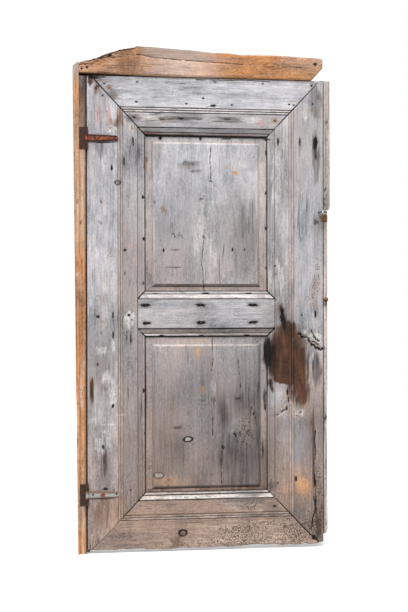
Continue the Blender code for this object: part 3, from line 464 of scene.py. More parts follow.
# Marks on the leaf in millimetres, from its top down: x, z, half width, half height and strength
leafMarks = dict(
    grime=[
        # painted shadow: the first two marks darken the top left corner under the head beam
        (62, 1815, 20, 5, 0.6), (30, 1814, 40, 10, 0.7), (494, 1806, 8.5, 4.7, 0.7),
        (682, 1804, 7, 4.7, 0.7), (50, 1803, 13.6, 4.7, 0.4), (192, 1800, 6.2, 4.7, 0.8),
        (875, 1800, 7, 4.7, 0.9), (307, 1799, 10.1, 3.5, 0.5), (66, 1790, 9, 4, 0.9),
        (41.6, 1780, 6, 6, 0.9), (35, 1772, 6.2, 9.7, 0.7), (60, 1745, 5, 6, 0.7),
        (447, 1743, 6.2, 5.4, 0.8), (127, 1734, 12, 7, 0.4), (880, 1729, 5, 4.7, 0.9),
        (787, 1725, 7, 4.3, 0.9), (805, 1724, 6.2, 4.3, 0.8), (189, 1723, 7.8, 4.7, 0.7),
        (382, 1720, 7.8, 4.7, 0.8), (560, 1718, 7, 6.2, 0.8), (488, 1714, 12.4, 6.2, 1),
        (75, 1682, 4, 6, 0.5), (180, 1664, 12.4, 4.7, 0.75), (544, 1664, 17.5, 5, 0.6),
        (361, 1662, 17.5, 5.4, 0.75), (435, 1662, 15.5, 4.7, 0.45), (730, 1660, 8.5, 8.5, 0.5),
        # painted shadow and rust stain: (60, 1596.5) runs along the top strap's upper edge and (60, 1565.5)
        # under it
        (287, 1657, 15.5, 5.8, 0.6), (122, 1652, 8.5, 27.2, 0.3), (60, 1596.5, 60, 2.8, 0.45),
        (540, 1590, 30, 5, 0.6), (700, 1589, 20, 6, 0.7), (282, 1588, 8, 10, 1), (438.6, 1588, 6, 10, 0.9),
        (829, 1580, 4.7, 23.3, 0.75), (742, 1578, 5.4, 19.4, 0.8), (891, 1578, 10.5, 28, 1),
        (176, 1572, 5.4, 23.3, 0.75), (60, 1565.5, 62, 3.5, 0.75), (34, 1551, 9.3, 27.2, 0.35),
        (57, 1547, 7, 31, 0.4), (891, 1545, 9, 55, 0.55), (698, 1538, 5.4, 15.5, 0.8),
        (383, 1497, 20, 5, 0.35), (141, 1495, 6.2, 27.2, 0.6), (94, 1468, 5, 15.5, 0.85),
        (420, 1464, 20, 4, 0.35), (477, 1423, 8.5, 6.2, 0.6), (696, 1379, 4.7, 11.6, 0.75),
        (214, 1358, 6.2, 8.5, 0.95), (438, 1353, 10.1, 8.5, 0.5), (53, 1341, 7, 7, 0.45),
        (260, 1339, 3.9, 11.6, 0.5), (893, 1268, 12, 14, 0.55), (53, 1257, 7.8, 6.2, 0.4),
        (697, 1242, 5.4, 9.3, 0.95), (337, 1209, 3.9, 13.6, 0.45), (356, 1209, 3.9, 13.6, 0.4),
        (450, 1206, 7.8, 6.2, 0.6), (217, 1197, 5.8, 8.5, 0.95), (563, 1158, 4.7, 10.1, 0.95),
        (610, 1158, 3.9, 8.5, 0.85), (294, 1155, 4.7, 11.6, 0.95), (341, 1155, 31, 3.5, 0.6),
        (144, 1154, 6.2, 6.2, 0.9), (729, 1094, 6.2, 5.4, 0.8), (337, 1089, 38.8, 4.5, 0.55),
        (697, 1086, 4.7, 8.5, 0.7), (144, 1066, 4.7, 11.6, 0.5), (733, 1063, 4.7, 4.7, 0.6),
        (163, 1032, 4.7, 19.4, 0.4), (215, 1028, 4.7, 11.6, 0.7), (888, 1024, 11.6, 54.3, 0.25),
        (457, 988, 19.4, 3.1, 0.9), (626, 988, 19.4, 3.1, 0.95), (263, 987, 15.5, 2.7, 0.7),
        (41, 978, 9.3, 3.9, 0.4), (759, 919, 7, 11.6, 1), (159, 905, 7, 6.2, 1),
        (890, 905, 4.7, 17.5, 0.95), (98, 903, 4.7, 15.5, 0.85), (836, 903, 4.7, 6.2, 0.8),
        (758, 900, 9, 36, 1.2), (41, 899, 9.3, 7, 0.85), (170, 886, 3.9, 6.2, 0.7),
        (766, 864, 7.8, 34.9, 0.9), (52, 837, 4.7, 11.6, 0.5), (398, 835, 5.8, 3.5, 0.9),
        (98, 829, 4.7, 19.4, 0.8), (286, 825, 13.2, 3.9, 0.8), (441, 824, 13.2, 3.9, 0.8),
        (618, 824, 15.5, 3.9, 0.85), (166, 813, 4.7, 31, 0.7), (695, 755, 10.1, 58.2, 1),
        (700, 745, 11, 75, 1), (709, 745, 17, 80, 0.75), (726, 735, 18, 60, 0.5),
        (712, 728, 9.3, 69.8, 0.55), (876, 720, 18, 45, 0.3), (39, 716, 5.4, 6.2, 0.7),
        (730, 715, 22, 80, 0.4), (74, 699, 5.4, 3.9, 0.6), (716, 636, 17, 6, 0.6), (66, 630, 20, 30, 0.3),
        (716, 630, 9, 30, 0.7), (216, 613, 5.4, 10.1, 0.85), (778, 604, 5, 20, 0.8),
        (691, 580, 7.8, 46.6, 0.6), (582, 577, 11.6, 5.4, 0.7), (782, 572, 4, 16, 0.7),
        (448, 571, 15.5, 3.9, 0.45), (97, 557, 6.2, 9.3, 0.9), (222.5, 550, 4.2, 300, 0.9),
        (692, 544, 5, 20, 0.8), (637, 541, 4.5, 5, 0.8), (775, 540, 6, 10, 0.7), (830, 523, 6, 7, 0.6),
        (645, 518, 4, 7, 0.9), (652, 502, 4, 6, 0.7), (629, 486, 5, 4, 0.7), (613, 476, 31, 62.1, 0.3),
        (347, 468, 27.2, 7.8, 0.5), (598, 462, 3, 5, 0.7), (623, 451, 6, 5, 0.9),
        (220, 447, 6.2, 11.6, 0.6), (591, 445, 4.5, 4, 0.8), (568, 441, 4.5, 6, 1),
        (574, 434, 3.9, 7.8, 1), (638, 432, 4, 3, 0.7), (612, 430, 4, 4, 0.8), (603, 409, 7, 3.5, 0.8),
        (59, 401, 8.5, 11.6, 0.7), (618, 400, 5, 3, 0.7), (526, 388, 5.4, 8.5, 0.7),
        (610, 380, 105, 190, 0.36), (682, 369, 5.8, 54.3, 0.6), (66, 339, 9.3, 66, 0.3),
        (763, 301, 4.3, 4.3, 0.6), (610, 300, 50, 35, 0.36), (479, 284, 9.3, 7.8, 0.35),
        (811, 261, 5.8, 13.2, 0.85), (887, 251, 4.7, 23.3, 1), (739, 247, 4.7, 5.4, 0.8),
        # painted shadow and rust stain: (50, 235) runs along the bottom strap's upper edge and (60, 203.5)
        # under it
        (66, 240, 11.6, 7.8, 0.8), (50, 235, 50, 3, 0.55), (100, 235, 4.3, 4.3, 0.7),
        (165, 233, 4.7, 4.7, 0.8), (630, 206, 90, 12, 0.4), (60, 203.5, 62, 3, 0.6),
        (200, 171, 11.6, 4.7, 0.4), (727, 157, 9.3, 6.2, 0.75), (891, 157, 5.4, 77.6, 0.6),
        (899, 82, 15.5, 54.3, 0.45), (901, 55, 16, 55, 0.45), (883, 28, 11.6, 15.5, 0.9),
    ],
    warm=[
        (65, 1801, 34.9, 10.1, 0.6), (20, 1800, 16, 20, 0.9), (85, 1776, 20, 20, 0.8),
        (39, 1772, 19.4, 38.8, 0.8), (30, 1765, 8, 30, 0.9), (901, 1757, 9.3, 11.6, 0.8),
        (105, 1748, 20, 16, 0.7), (130, 1670, 12, 50, 0.9), (730, 1660, 15.5, 15.5, 0.7),
        (287, 1655, 19.4, 11.6, 0.5), (122, 1648, 15.5, 38.8, 0.8), (92, 1636, 23.3, 31, 0.7),
        (175, 1626, 16, 16, 0.8), (224, 1489, 8.5, 34.9, 1), (291, 1313, 9.3, 17.8, 1),
        (897, 1255, 23.3, 46.6, 0.35), (756, 934, 11.6, 15.5, 0.9), (39, 716, 11.6, 11.6, 0.8),
        (16, 619, 9.3, 62.1, 1), (582, 577, 19.4, 11.6, 0.8), (488, 575, 15.5, 15.5, 0.8),
        (883, 475, 7.8, 54.3, 0.8), (59, 401, 15.5, 19.4, 0.7), (526, 388, 11.6, 15.5, 0.7),
        (62, 313, 19.4, 85.4, 0.5), (613, 301, 46.6, 54.3, 0.5), (886, 295, 7.8, 155.2, 0.7),
        (331, 264, 77.6, 19.4, 0.6), (900, 160, 28, 150, 1.3), (80, 150, 100, 80, 1.2),
        (891, 98, 23.3, 93.1, 0.8), (366, 62, 19.4, 19.4, 0.6), (346, 32, 27.2, 23.3, 0.7),
    ],
    cool=[
        (460, 1765, 420, 70, 0.35), (870, 735, 35, 50, 0.35), (730, 580, 30, 40, 0.5),
        (580, 450, 80, 60, 0.45), (800, 390, 50, 120, 0.5), (600, 170, 90, 30, 0.5),
    ],
    ochre=[
        (730, 1656, 9.7, 7.8, 0.5), (390, 1483, 16, 7, 0.22), (540, 1478, 14, 6.2, 0.45),
        (225, 1469, 6.2, 19.4, 0.5), (575, 1457, 16.3, 9.3, 1), (291, 1313, 7.8, 15.5, 0.35),
        (425, 757, 11.6, 31, 0.5), (820, 648, 11.6, 38.8, 0.3), (447, 614, 10.1, 21, 0.75),
        (860, 585, 6.2, 31, 0.7), (848, 554, 11.6, 19.4, 0.4), (300, 262, 60, 20, 0.4),
        (378, 259, 38.8, 11.6, 0.1), (828, 235, 60, 80, 0.35), (838, 232, 42, 55, 0.75),
    ],
    bleach=[
        # painted highlight: the first mark lightens the top rail's upper edge where the head beam shades it
        (380, 1816, 300, 12, 1), (460, 1762, 360, 45, 0.42), (88, 1708, 31, 54.3, 0.35),
        (853, 1697, 19.4, 38.8, 0.45), (240, 1668, 30, 12, 0.4), (640, 1664, 60, 16, 0.5),
        (172, 1626, 16, 12, 0.7), (95, 1617, 26, 12, 1), (552, 1544, 93.1, 46.6, 0.3),
        (474, 1504, 11.6, 100.9, 0.45), (600, 1490, 50, 20, 0.35), (735, 1430, 30, 190, 0.55),
        (450, 1420, 30, 50, 0.4), (434, 1310, 31, 46.6, 0.3), (455, 1300, 55, 260, 0.42),
        (26, 1203, 15.5, 7.8, 0.6), (477, 1194, 15.5, 194, 0.38), (37, 1116, 23.3, 116.4, 0.3),
        (735, 1050, 30, 140, 0.55), (60, 905, 34.9, 34.9, 0.35), (161, 888, 29.1, 33, 0.95),
        (845, 838, 16, 10, 0.9), (828, 821, 27.2, 23.3, 0.4), (886, 812, 30, 22, 1),
        (100, 790, 12, 30, 0.6), (270, 780, 50, 20, 0.35), (620, 780, 50, 20, 0.3),
        (52, 772, 23.3, 7.8, 0.5), (50, 770, 30, 20, 0.6), (70, 660, 20, 40, 0.6),
        (488, 625, 11.6, 31, 0.35), (92, 620, 20, 60, 0.6), (748, 590, 22, 26, 0.25),
        (97, 576, 15.5, 15.5, 0.6), (124, 522, 54.3, 3.9, 0.55), (815, 520, 34, 22, 0.6),
        (760, 515, 30, 22, 0.35), (30, 500, 30, 30, 0.5), (66, 485, 62.1, 5.4, 0.6),
        (60, 460, 40, 12, 0.5), (80, 440, 16, 60, 0.5), (50, 420, 22, 60, 0.6), (330, 330, 90, 70, 0.1),
    ],
    paint=[
        (678, 1740, 5.4, 27.2, 0.5), (61, 1711, 23.3, 46.6, 0.35), (60, 1680, 34, 70, 0.85),
        (42, 1661, 10.1, 54.3, 0.6), (672, 1656, 16, 20, 0.65), (148, 1231, 7.8, 46.6, 0.25),
        (167, 1171, 27.2, 5, 0.75), (98, 1154, 23.3, 11.6, 0.35), (182, 1120, 7.8, 23.3, 0.6),
    ],
    soot=[
        (95, 1750, 35, 25, 0.9), (890, 1740, 30, 80, 0.8), (540, 1665, 50, 10, 0.7),
        (175, 1662, 35, 20, 0.9), (350, 1662, 110, 20, 1), (552, 1662, 80, 18, 0.9),
        (190, 1660, 30, 12, 0.8), (360, 1660, 40, 14, 0.9), (115, 1630, 20, 30, 0.8),
        (741, 1566, 15.5, 46.6, 0.5), (829, 1560, 15.5, 54.3, 0.5), (176, 1538, 15.5, 62.1, 0.5),
        (50, 1536, 34.9, 38.8, 0.5), (891, 1520, 22, 130, 0.8), (400, 1490, 45, 14, 1),
        (141, 1480, 15.5, 54.3, 0.5), (396, 1480, 46.6, 19.4, 0.5), (420, 1462, 30, 8, 0.9),
        (885, 1262, 18, 40, 0.5), (610, 1253, 34.9, 85.4, 0.8), (376, 1252, 54.3, 116.4, 0.3),
        (300, 1200, 50, 200, 0.35), (610, 1200, 90, 170, 0.65), (528, 1098, 77.6, 77.6, 0.25),
        (356, 1059, 100.9, 31, 0.3), (888, 1008, 27.2, 77.6, 0.6), (890, 940, 20, 50, 0.7),
        (772, 883, 31, 69.8, 0.5), (98, 867, 15.5, 69.8, 0.4), (840, 850, 50, 25, 0.6),
        (850, 835, 50, 30, 0.7), (852, 795, 22, 20, 1), (872, 770, 30, 30, 0.8), (738, 750, 30, 90, 0.9),
        (677, 720, 19.4, 100.9, 0.6), (60, 700, 50, 150, 0.65), (660, 700, 35, 90, 0.6),
        (690, 700, 20, 60, 1), (890, 690, 26, 100, 1), (520, 670, 35, 100, 0.4), (130, 620, 30, 200, 0.35),
        (16, 619, 9.3, 62.1, 0.8), (67, 580, 31, 77.6, 0.2), (360, 550, 60, 100, 0.3),
        (755, 540, 35, 40, 0.45), (195, 500, 30, 120, 0.6), (347, 468, 46.6, 19.4, 0.6),
        (605, 464, 54.3, 85.4, 0.6), (745, 460, 30, 100, 0.6), (811, 414, 31, 100.9, 0.5),
        (60, 400, 50, 130, 0.55), (620, 380, 85, 150, 1), (779, 356, 31, 77.6, 0.4), (62, 332, 20, 90, 1),
        (613, 301, 54.3, 54.3, 0.6), (620, 300, 70, 70, 0.9), (55, 270, 50, 50, 0.6),
        (690, 235, 50, 30, 1), (50, 210, 50, 30, 0.4), (620, 180, 110, 30, 1), (628, 156, 54.3, 19.4, 0.7),
        (714, 150, 40, 60, 0.6), (899, 137, 23.3, 139.7, 0.6),
    ],
    stain=[
        (12, 1803, 14, 25, 0.8), (30, 1795, 22, 12, 0.5), (85, 1775, 12, 12, 0.4), (32, 1765, 6, 30, 0.5),
        (128, 1665, 8, 40, 0.4), (120, 1655, 12, 30, 0.45), (243, 1598, 12, 7, 0.7),
        (232, 1505, 5, 16, 0.5), (710, 640, 12, 20, 0.7), (16, 619, 9.3, 62.1, 0.9),
        (720, 610, 8, 20, 0.7), (790, 600, 12, 30, 0.6), (882, 360, 8, 220, 0.75), (64, 335, 12, 70, 0.45),
        (900, 270, 16, 120, 0.45), (55, 140, 70, 70, 0.4), (896, 100, 30, 100, 0.65),
        (342, 22, 34, 30, 0.8),
    ],
    rot=[
        (840, 1700, 16, 20, 0.6), (172, 1624, 18, 14, 0.75), (95, 1615, 30, 12, 0.75),
        (445, 1355, 14, 20, 0.7), (54, 1337, 13, 16, 0.75), (50, 1256, 12, 14, 0.65),
        (452, 1200, 12, 30, 0.6), (26, 1198, 16, 8, 0.8), (86, 1140, 12, 30, 0.75),
        (900, 1030, 16, 100, 0.75), (888, 1008, 19.4, 77.6, 0.7), (868, 961, 19.4, 31, 0.5),
        (54, 958, 30, 14, 0.6), (62, 880, 20, 20, 0.6), (862, 800, 50, 22, 0.8), (888, 797, 31, 38.8, 0.5),
        (765, 560, 50, 50, 0.6), (830, 520, 50, 30, 0.6), (613, 464, 42, 75, 0.75),
        (637, 417, 23.3, 31, 0.6), (676, 330, 7.8, 62.1, 0.7), (905, 300, 12, 120, 0.6),
        (900, 200, 20, 140, 1), (620, 158, 65, 24, 1.2), (895, 90, 32, 110, 1.3), (620, 35, 180, 85, 1.1),
        (800, 35, 110, 80, 1.3), (490, 32, 116.4, 38.8, 0.6), (560, 15, 300, 50, 0.8),
    ],
)

# Brown stain beside the lower opening: height, then its left and right edge, in millimetres
stainRows = [
    (550, 815, 848), (570, 800, 864), (594, 788, 868), (630, 776, 866), (645, 710, 858), (684, 698, 860),
    (719, 688, 864), (754, 688, 860), (782, 700, 852), (814, 716, 836), (840, 735, 826), (865, 742, 818),
    (885, 747, 778), (915, 748, 764), (946, 752, 760),
]

# Knots: x, z, half width and half height in millimetres, strength of the dark ring, the mask that fills it
# and how much
leafKnots = [
    (366, 62.5, 14, 12, 1.5, "stain", 0.45), (388, 423, 17, 10, 1.3, "bleach", 0.6),
    (273, 285, 18, 12, 0.65, "bleach", 0.5), (116, 1412, 10, 8, 1.3, "warm", 0.8),
    (486, 573, 8, 9, 0.6, "stain", 0.5), (480, 722, 6, 13, 0.55, "warm", 0.8),
    (525, 387, 6, 9, 0.5, "stain", 0.5),
]

# Each crack is a half width, a depth and the points it runs through, in millimetres
leafCracks = [
    (4.4, 6, [(824, 828), (840, 815), (860, 811), (876, 789), (892, 775), (920, 767)]),
    (2.6, 3, [(874, 842), (882, 825), (893, 806), (905, 800)]),
    (2.2, 3, [(862, 810), (872, 800), (890, 796), (902, 786)]),
    (2.2, 3, [(889, 450), (886, 410), (890.5, 370), (889.5, 335)]),
    (2.8, 3, [(884, 190), (888, 165), (887, 130), (879, 105), (876.5, 75), (869, 60)]),
    (1.4, 2, [(480, 1570), (478, 1543), (474, 1504), (480, 1465), (476, 1427)]),
    (1.5, 2, [(450, 1194), (446, 1148), (442, 1109), (447, 1055), (449, 1016), (455, 993)]),
    (1.3, 2, [(484, 811), (484, 768), (486, 730), (481, 683)]),
    (1.2, 2, [(486, 567), (484, 497), (483, 435)]),
    (1.2, 2, [(520, 396), (518, 326), (518, 248)]),
    (1.2, 2, [(582, 744), (590, 682), (594, 612)]),
    (2.8, 3, [(724, 509), (744, 515), (760, 528), (776, 534)]),
    (2.6, 4, [(885, 279), (890, 255), (887, 228)]),
    (1.4, 2, [(462, 1706), (488, 1714), (505, 1726)]),
    (1.3, 2, [(420, 1813), (513, 1813), (615, 1816), (710, 1811)]),
    (1.2, 1, [(321, 1201), (331, 1222), (341, 1201)]),
    (1.2, 1, [(345, 1197), (356, 1226), (370, 1198)]),
]

# Nails of the middle rail in millimetres, each with a black stain and a sooty halo
railNails = dict(
    places=[(224, 942), (436, 943), (641, 942), (226, 873), (437, 874), (643, 875)],
    stain=(21, 6.6, 1.4), halo=(34, 13, 0.7),
)
leafMarks["grime"] += [(*place, *railNails["stain"]) for place in railNails["places"]]
leafMarks["soot"] += [(*place, *railNails["halo"]) for place in railNails["places"]]


def markField(x, z, marks, seed, grain="Z"):
    # strongest mark at each point: one inside the ellipse, fading outwards along a frayed edge
    field = np.zeros_like(x)
    frequencyX, frequencyZ = (150, 16) if grain == "Z" else (16, 150)
    threads = layeredNoise(x * frequencyX, z * frequencyZ, seed + 4, 2)
    for *sizes, strength in marks:
        centreX, centreZ, halfWide, halfHigh = metres(sizes)
        u, v = (x - centreX) / halfWide, (z - centreZ) / halfHigh
        near = (abs(u) < 2.2) & (abs(v) < 2.2)
        fray = layeredNoise(u[near] * 2.2 + centreX * 91, v[near] * 2.2 + centreZ * 57, seed, 2)
        frayed = np.clip(min(halfWide, halfHigh) / 0.02, 0.15, 1)
        reach = np.hypot(u[near], v[near]) * (0.62 + 0.76 * fray) + frayed * (threads[near] - 0.5)
        field[near] = np.maximum(field[near], strength * (1 - easeStep(reach, 0.35, 1.25)))
    return field


def crackField(x, z, line, halfWidth):
    # one on the line, falling off as a bell with the distance to its nearest stretch
    line, halfWidth = metres(line), halfWidth / 1000
    waver = 2.2 * halfWidth * (layeredNoise(x * 110, z * 110, 5, 2) - 0.5)
    nearest = np.full(x.shape, 1.0)
    for start, end in zip(line[:-1], line[1:]):
        step = end - start
        along = ((x - start[0]) * step[0] + (z - start[1]) * step[1]) / (step @ step)
        along = np.clip(along, 0, 1)
        gap = np.hypot(x - start[0] - along * step[0] + waver, z - start[1] - along * step[1] + waver)
        nearest = np.minimum(nearest, gap)
    return np.exp(-(nearest / halfWidth) ** 2)


def stainField(x, z, seed):
    # distance inside the outline, whose edge wavers along the grain
    height, left, right = metres(stainRows).T
    inside = np.minimum(x - np.interp(z, height, left), np.interp(z, height, right) - x)
    inside = np.minimum(inside, np.minimum(z - height[0], height[-1] - z))
    inside = inside + 0.03 * (layeredNoise(x * 150, z * 14, seed) - 0.5)
    return inside + 0.02 * (layeredNoise(x * 40, z * 40, seed + 1) - 0.5)


def addKnots(x, z, masks):
    # a dark uneven ring round an ellipse, and one mask inside it
    for *sizes, ringStrength, fill, amount in leafKnots:
        centreX, centreZ, halfWide, halfHigh = metres(sizes)
        u, v = (x - centreX) / halfWide, (z - centreZ) / halfHigh
        near = (abs(u) < 2) & (abs(v) < 2)
        wobble = layeredNoise(u[near] * 1.3 + centreX * 70, v[near] * 1.3, 9, 2)
        reach = np.hypot(u[near], v[near]) * (0.8 + 0.4 * wobble)
        ring = ringStrength * (0.45 + 0.9 * wobble) * np.exp(-((reach - 1) / 0.27) ** 2)
        masks["grime"][near] = np.maximum(masks["grime"][near], ring)
        masks[fill][near] = np.maximum(masks[fill][near], amount * (1 - easeStep(reach, 0.6, 1.0)))


def leafMasks(x, z, seed, grain):
    # browner towards the ground, with slow clouds, and every mark, the stain, knots and cracks laid over that
    cloud = layeredNoise(x * 7, z * 3.2, 21)
    masks = {mask: markField(x, z, marks, seed, grain) for mask, marks in leafMarks.items()}
    strongest(masks, "warm", byPlace(z, leaf["warmth"]) + 0.5 * (cloud - 0.5))
    masks["warm"] = masks["warm"] - masks.pop("cool")
    masks["grime"] = 1.1 * masks["grime"]
    strongest(masks, "soot", 0.45 * easeStep(layeredNoise(x * 11, z * 2.5, 33), 0.5, 0.8))
    inside = stainField(x, z, seed)
    strongest(masks, "stain", easeStep(inside, -0.026, 0.03))
    strongest(masks, "soot", 0.8 * easeStep(inside, -0.03, 0.015))
    addKnots(x, z, masks)
    cracks = np.zeros_like(x)
    sunk = np.zeros_like(x)
    for halfWidth, depth, line in leafCracks:
        field = crackField(x, z, line, halfWidth)
        cracks = np.maximum(cracks, field)
        sunk = np.maximum(sunk, depth / 1000 * field)
    strongest(masks, "grime", cracks * (0.6 + 1.1 * layeredNoise(x * 35, z * 35, 36)))
    return masks, sunk


def wornRelief(across, along, seed):
    # how far weather has eaten into the face: fibres, slow hollows and a few dents
    fibres = layeredNoise(across * 120, along * 3.5, seed)
    hollows = smoothNoise(across * 30, along * 1.6, seed + 1)
    dents = easeStep(smoothNoise(across * 70, along * 26, seed + 2), 0.8, 1.0)
    return 0.0009 * fibres + 0.001 * hollows + 0.0012 * dents


def leafPlace(x, z, depth):
    # leaf coordinates to the shared frame, with the ragged bottom edge lifted off the ground line
    lift = byPlace(x, leaf["bottomLift"]) + leaf["ragged"] * layeredNoise(x * 38, x * 0, 8)
    z = z + lift * np.clip(1 - z / leaf["wornHeight"], 0, 1)
    return gridPoints(x, depth, z) + np.array(leaf["origin"])


# Frame boards of the leaf: across runs from a board's outer edge to its inner edge

moulding = dict(
    thickness=0.040, arris=0.003, stickWidth=0.030, bandWidth=0.0555, bandDrop=0.0015,
    reedWidth=0.009, reedDepth=0.003, bevel=[(0.05, 0.0054), (0.10, 0.0036), (0.58, 0.0096)],
    bead=(0.64, 1.0), beadDepth=0.012, beadRise=0.003,
    grooveFront=0.017, grooveBack=0.0296, grooveDepth=0.014, backRound=0.0018,
    creaseWidth=0.0021, rubbedWidth=0.0034, mitreDirt=0.0019, acrossStep=0.0021, alongStep=0.0045,
    grimeSink=0.0008, rotSink=0.0014, endSink=0.0012, endRun=0.002,
    rearInset=0.01, rearPoints=14, shutCorner=0.3, shutFade=0.08,
)


def boardForm(width):
    # arris a quarter round, reeds and bead half ellipses, straight lines between
    stick = width - moulding["stickWidth"]
    reedsEnd = stick - moulding["bandWidth"]
    reedWidth, reedDepth = moulding["reedWidth"], moulding["reedDepth"]
    reeds = [reedsEnd - 2 * reedWidth, reedsEnd - reedWidth]
    quarter = np.linspace(0, math.pi / 2, 5)
    half = np.linspace(-1, 1, 9)
    arch = np.sqrt(1 - half ** 2)
    pieces = [(moulding["arris"] * (1 - np.cos(quarter)), moulding["arris"] * (1 - np.sin(quarter)))]
    pieces.append(([reeds[0] - reedDepth], [0]))
    pieces += [(start + reedWidth / 2 * (1 + half), reedDepth * (1 - arch)) for start in reeds]
    pieces.append(([reedsEnd + reedDepth, stick], [moulding["bandDrop"]] * 2))
    shares, depths = np.array(moulding["bevel"]).T
    bevel = stick + shares * moulding["stickWidth"]
    pieces.append((bevel, depths))
    beadLow, beadHigh = stick + np.array(moulding["bead"]) * moulding["stickWidth"]
    beadAcross = beadLow + (beadHigh - beadLow) * (1 + half) / 2
    pieces.append((beadAcross, moulding["beadDepth"] - moulding["beadRise"] * arch))
    across, depth = (np.concatenate([np.asarray(part, float) for part in line]) for line in zip(*pieces))
    reedTops = [start + reedWidth / 2 for start in reeds]
    return dict(width=width, stick=stick, across=across, depth=depth, reeds=reeds + [reedsEnd],
                reedTops=reedTops, quirk=bevel[0], bevel=bevel[1:], bead=beadLow)


def boardTails(form):
    # the hidden rest of the section: groove, back and outer edge, for a plank, a moulding or a whole board
    width, stick, back = form["width"], form["stick"], moulding["thickness"]
    turn = moulding["backRound"]
    floor = width - moulding["grooveDepth"]
    groove = [(width, moulding["grooveFront"]), (floor, moulding["grooveFront"]),
              (floor, moulding["grooveBack"]), (width, moulding["grooveBack"])]
    inset = moulding["rearInset"]
    rear = [(across, back) for across in np.linspace(stick - inset, inset, moulding["rearPoints"])]
    rear += [(turn, back), (0.0, back - turn), (0.0, back / 2)]
    plank = [(stick, back / 2), (stick, back - turn), (stick - turn, back)] + rear
    whole = groove + [(width, back - turn), (width - turn, back)] + rear
    return dict(plank=plank, stick=groove + [(width, back), (stick, back)], whole=whole)


def faceLine(form, low, high):  # the moulding between two places, with enough points for the relief
    regular = np.arange(low, high, moulding["acrossStep"])
    inside = form["across"][(form["across"] >= low) & (form["across"] <= high)]
    across = np.unique(np.round(np.concatenate([regular, inside, [low, high]]), 5))
    return across, np.interp(across, form["across"], form["depth"])


def bells(across, centres, width):  # a bell curve round each centre, added up
    return np.exp(-((across[:, None] - np.array(centres)) / width) ** 2).sum(1)


def boardShell(form, low, high, starts, ends, place, tail, look):
    # face and tail make the section; each of its points runs from its own start to its own end
    faceAcross, faceDepth = faceLine(form, low, high)
    tailAcross, tailDepth = np.array(tail).T
    across = np.concatenate([faceAcross, tailAcross])
    depth = np.concatenate([faceDepth, tailDepth])
    onFace = np.arange(len(across)) < len(faceAcross)
    length = ends(across) - starts(across)
    share = np.linspace(0, 1, int(length.max() / moulding["alongStep"]) + 2)[:, None]
    along = starts(across) + length * share
    x, z = place(np.broadcast_to(across, along.shape), along)
    seed = look["seed"]
    masks, sunk = leafMasks(x, z, seed, look["grain"])
    toEnd = np.minimum(along - starts(across), ends(across) - along)
    relief = wornRelief(across, along, seed) + sunk + moulding["grimeSink"] * masks["grime"]
    relief = relief + moulding["endSink"] * np.exp(-toEnd / moulding["endRun"])
    relief = relief + moulding["rotSink"] * masks["rot"] * smoothNoise(x * 160, z * 160, seed)
    depth = depth + np.where(onFace, relief, 0)
    # dark lines of dirt and painted shade lie in the creases, and dark lines in the mitres, apart from the
    # lower hinge corner, where the mitre is worn shut; pale wear and painted highlights lie on what sticks
    # out, and a ledge takes a painted highlight too
    patchy = 0.5 + 0.9 * layeredNoise(across * 40, along * 9, seed + 5)
    creaseWidth = moulding["creaseWidth"]
    creases = dict(reedGrimeAndShade=form["reeds"], quirkGrimeAndShade=[form["quirk"]], beadGrimeAndShade=[form["bead"]],
                   edgeGrimeAndShade=[form["width"]])
    dirtAndShade = sum(look[key] * bells(across, places, creaseWidth) for key, places in creases.items())
    dirtAndShade = np.clip(dirtAndShade, 0, 1) * patchy
    shut = easeStep(moulding["shutCorner"] - x - z, 0, moulding["shutFade"])
    dirtAndShade = np.maximum(dirtAndShade, (0.95 - 0.8 * shut) * np.exp(-(toEnd / moulding["mitreDirt"]) ** 2))
    strongest(masks, "grime", dirtAndShade)
    rubbed = bells(across, form["reedTops"], moulding["rubbedWidth"])
    strongest(masks, "ochre", look["reedOchre"] * rubbed * patchy)
    bevelStart, bevelEnd = form["bevel"]
    paleWearAndHighlight = look["reedBleachAndHighlight"] * rubbed + look["arrisBleachAndHighlight"] * bells(across, [bevelStart], creaseWidth)
    paleWearAndHighlight = np.maximum(paleWearAndHighlight, look["beadBleachAndHighlight"] * (across > form["bead"]))
    paleWearAndHighlight = np.maximum(paleWearAndHighlight, look["ledgeBleachAndHighlight"] * (across > bevelStart) * (across < bevelEnd))
    strongest(masks, "bleach", paleWearAndHighlight * patchy)
    inner = across > form["reeds"][0]
    tone = np.where(inner, byPlace(z, look["innerSoot"]), byPlace(z, look["outerSoot"]))
    strongest(masks, "soot", tone * (0.4 + 1.1 * layeredNoise(x * 6, z * 2.6, seed + 7)))
    strongest(masks, "stain", look["beadStain"] * (across > bevelEnd) * patchy)
    masks["warm"] = masks["warm"] + look["warm"] + 0.12 * inner
    # the sides and the back have a plain tone
    hidden = dict(grime=0.1, ochre=0, soot=0.35 * patchy, warm=0.45, stain=0, bleach=0)
    masks |= {mask: np.where(onFace, masks[mask], level) for mask, level in hidden.items()}
    return leafPlace(x, z, depth), masks


def mitreRise(across, railWidth):  # distance of the mitre from the leaf's end, at a place across a stile
    run = leaf["stileWidth"] - leaf["mitreInset"]
    shift = leaf["mitreGap"] / 2 * math.hypot(run, railWidth) / railWidth
    return np.maximum(across + shift - leaf["mitreInset"], 0) * railWidth / run


def mitreRun(across, railWidth):  # distance of the mitre from the leaf's side, at a place across a rail
    run = leaf["stileWidth"] - leaf["mitreInset"]
    shift = leaf["mitreGap"] / 2 * math.hypot(run, railWidth) / railWidth
    return leaf["mitreInset"] + run * across / railWidth + shift


slant = leaf["mitreGap"] / 2 * math.sqrt(2)
stileForm = boardForm(leaf["stileWidth"])

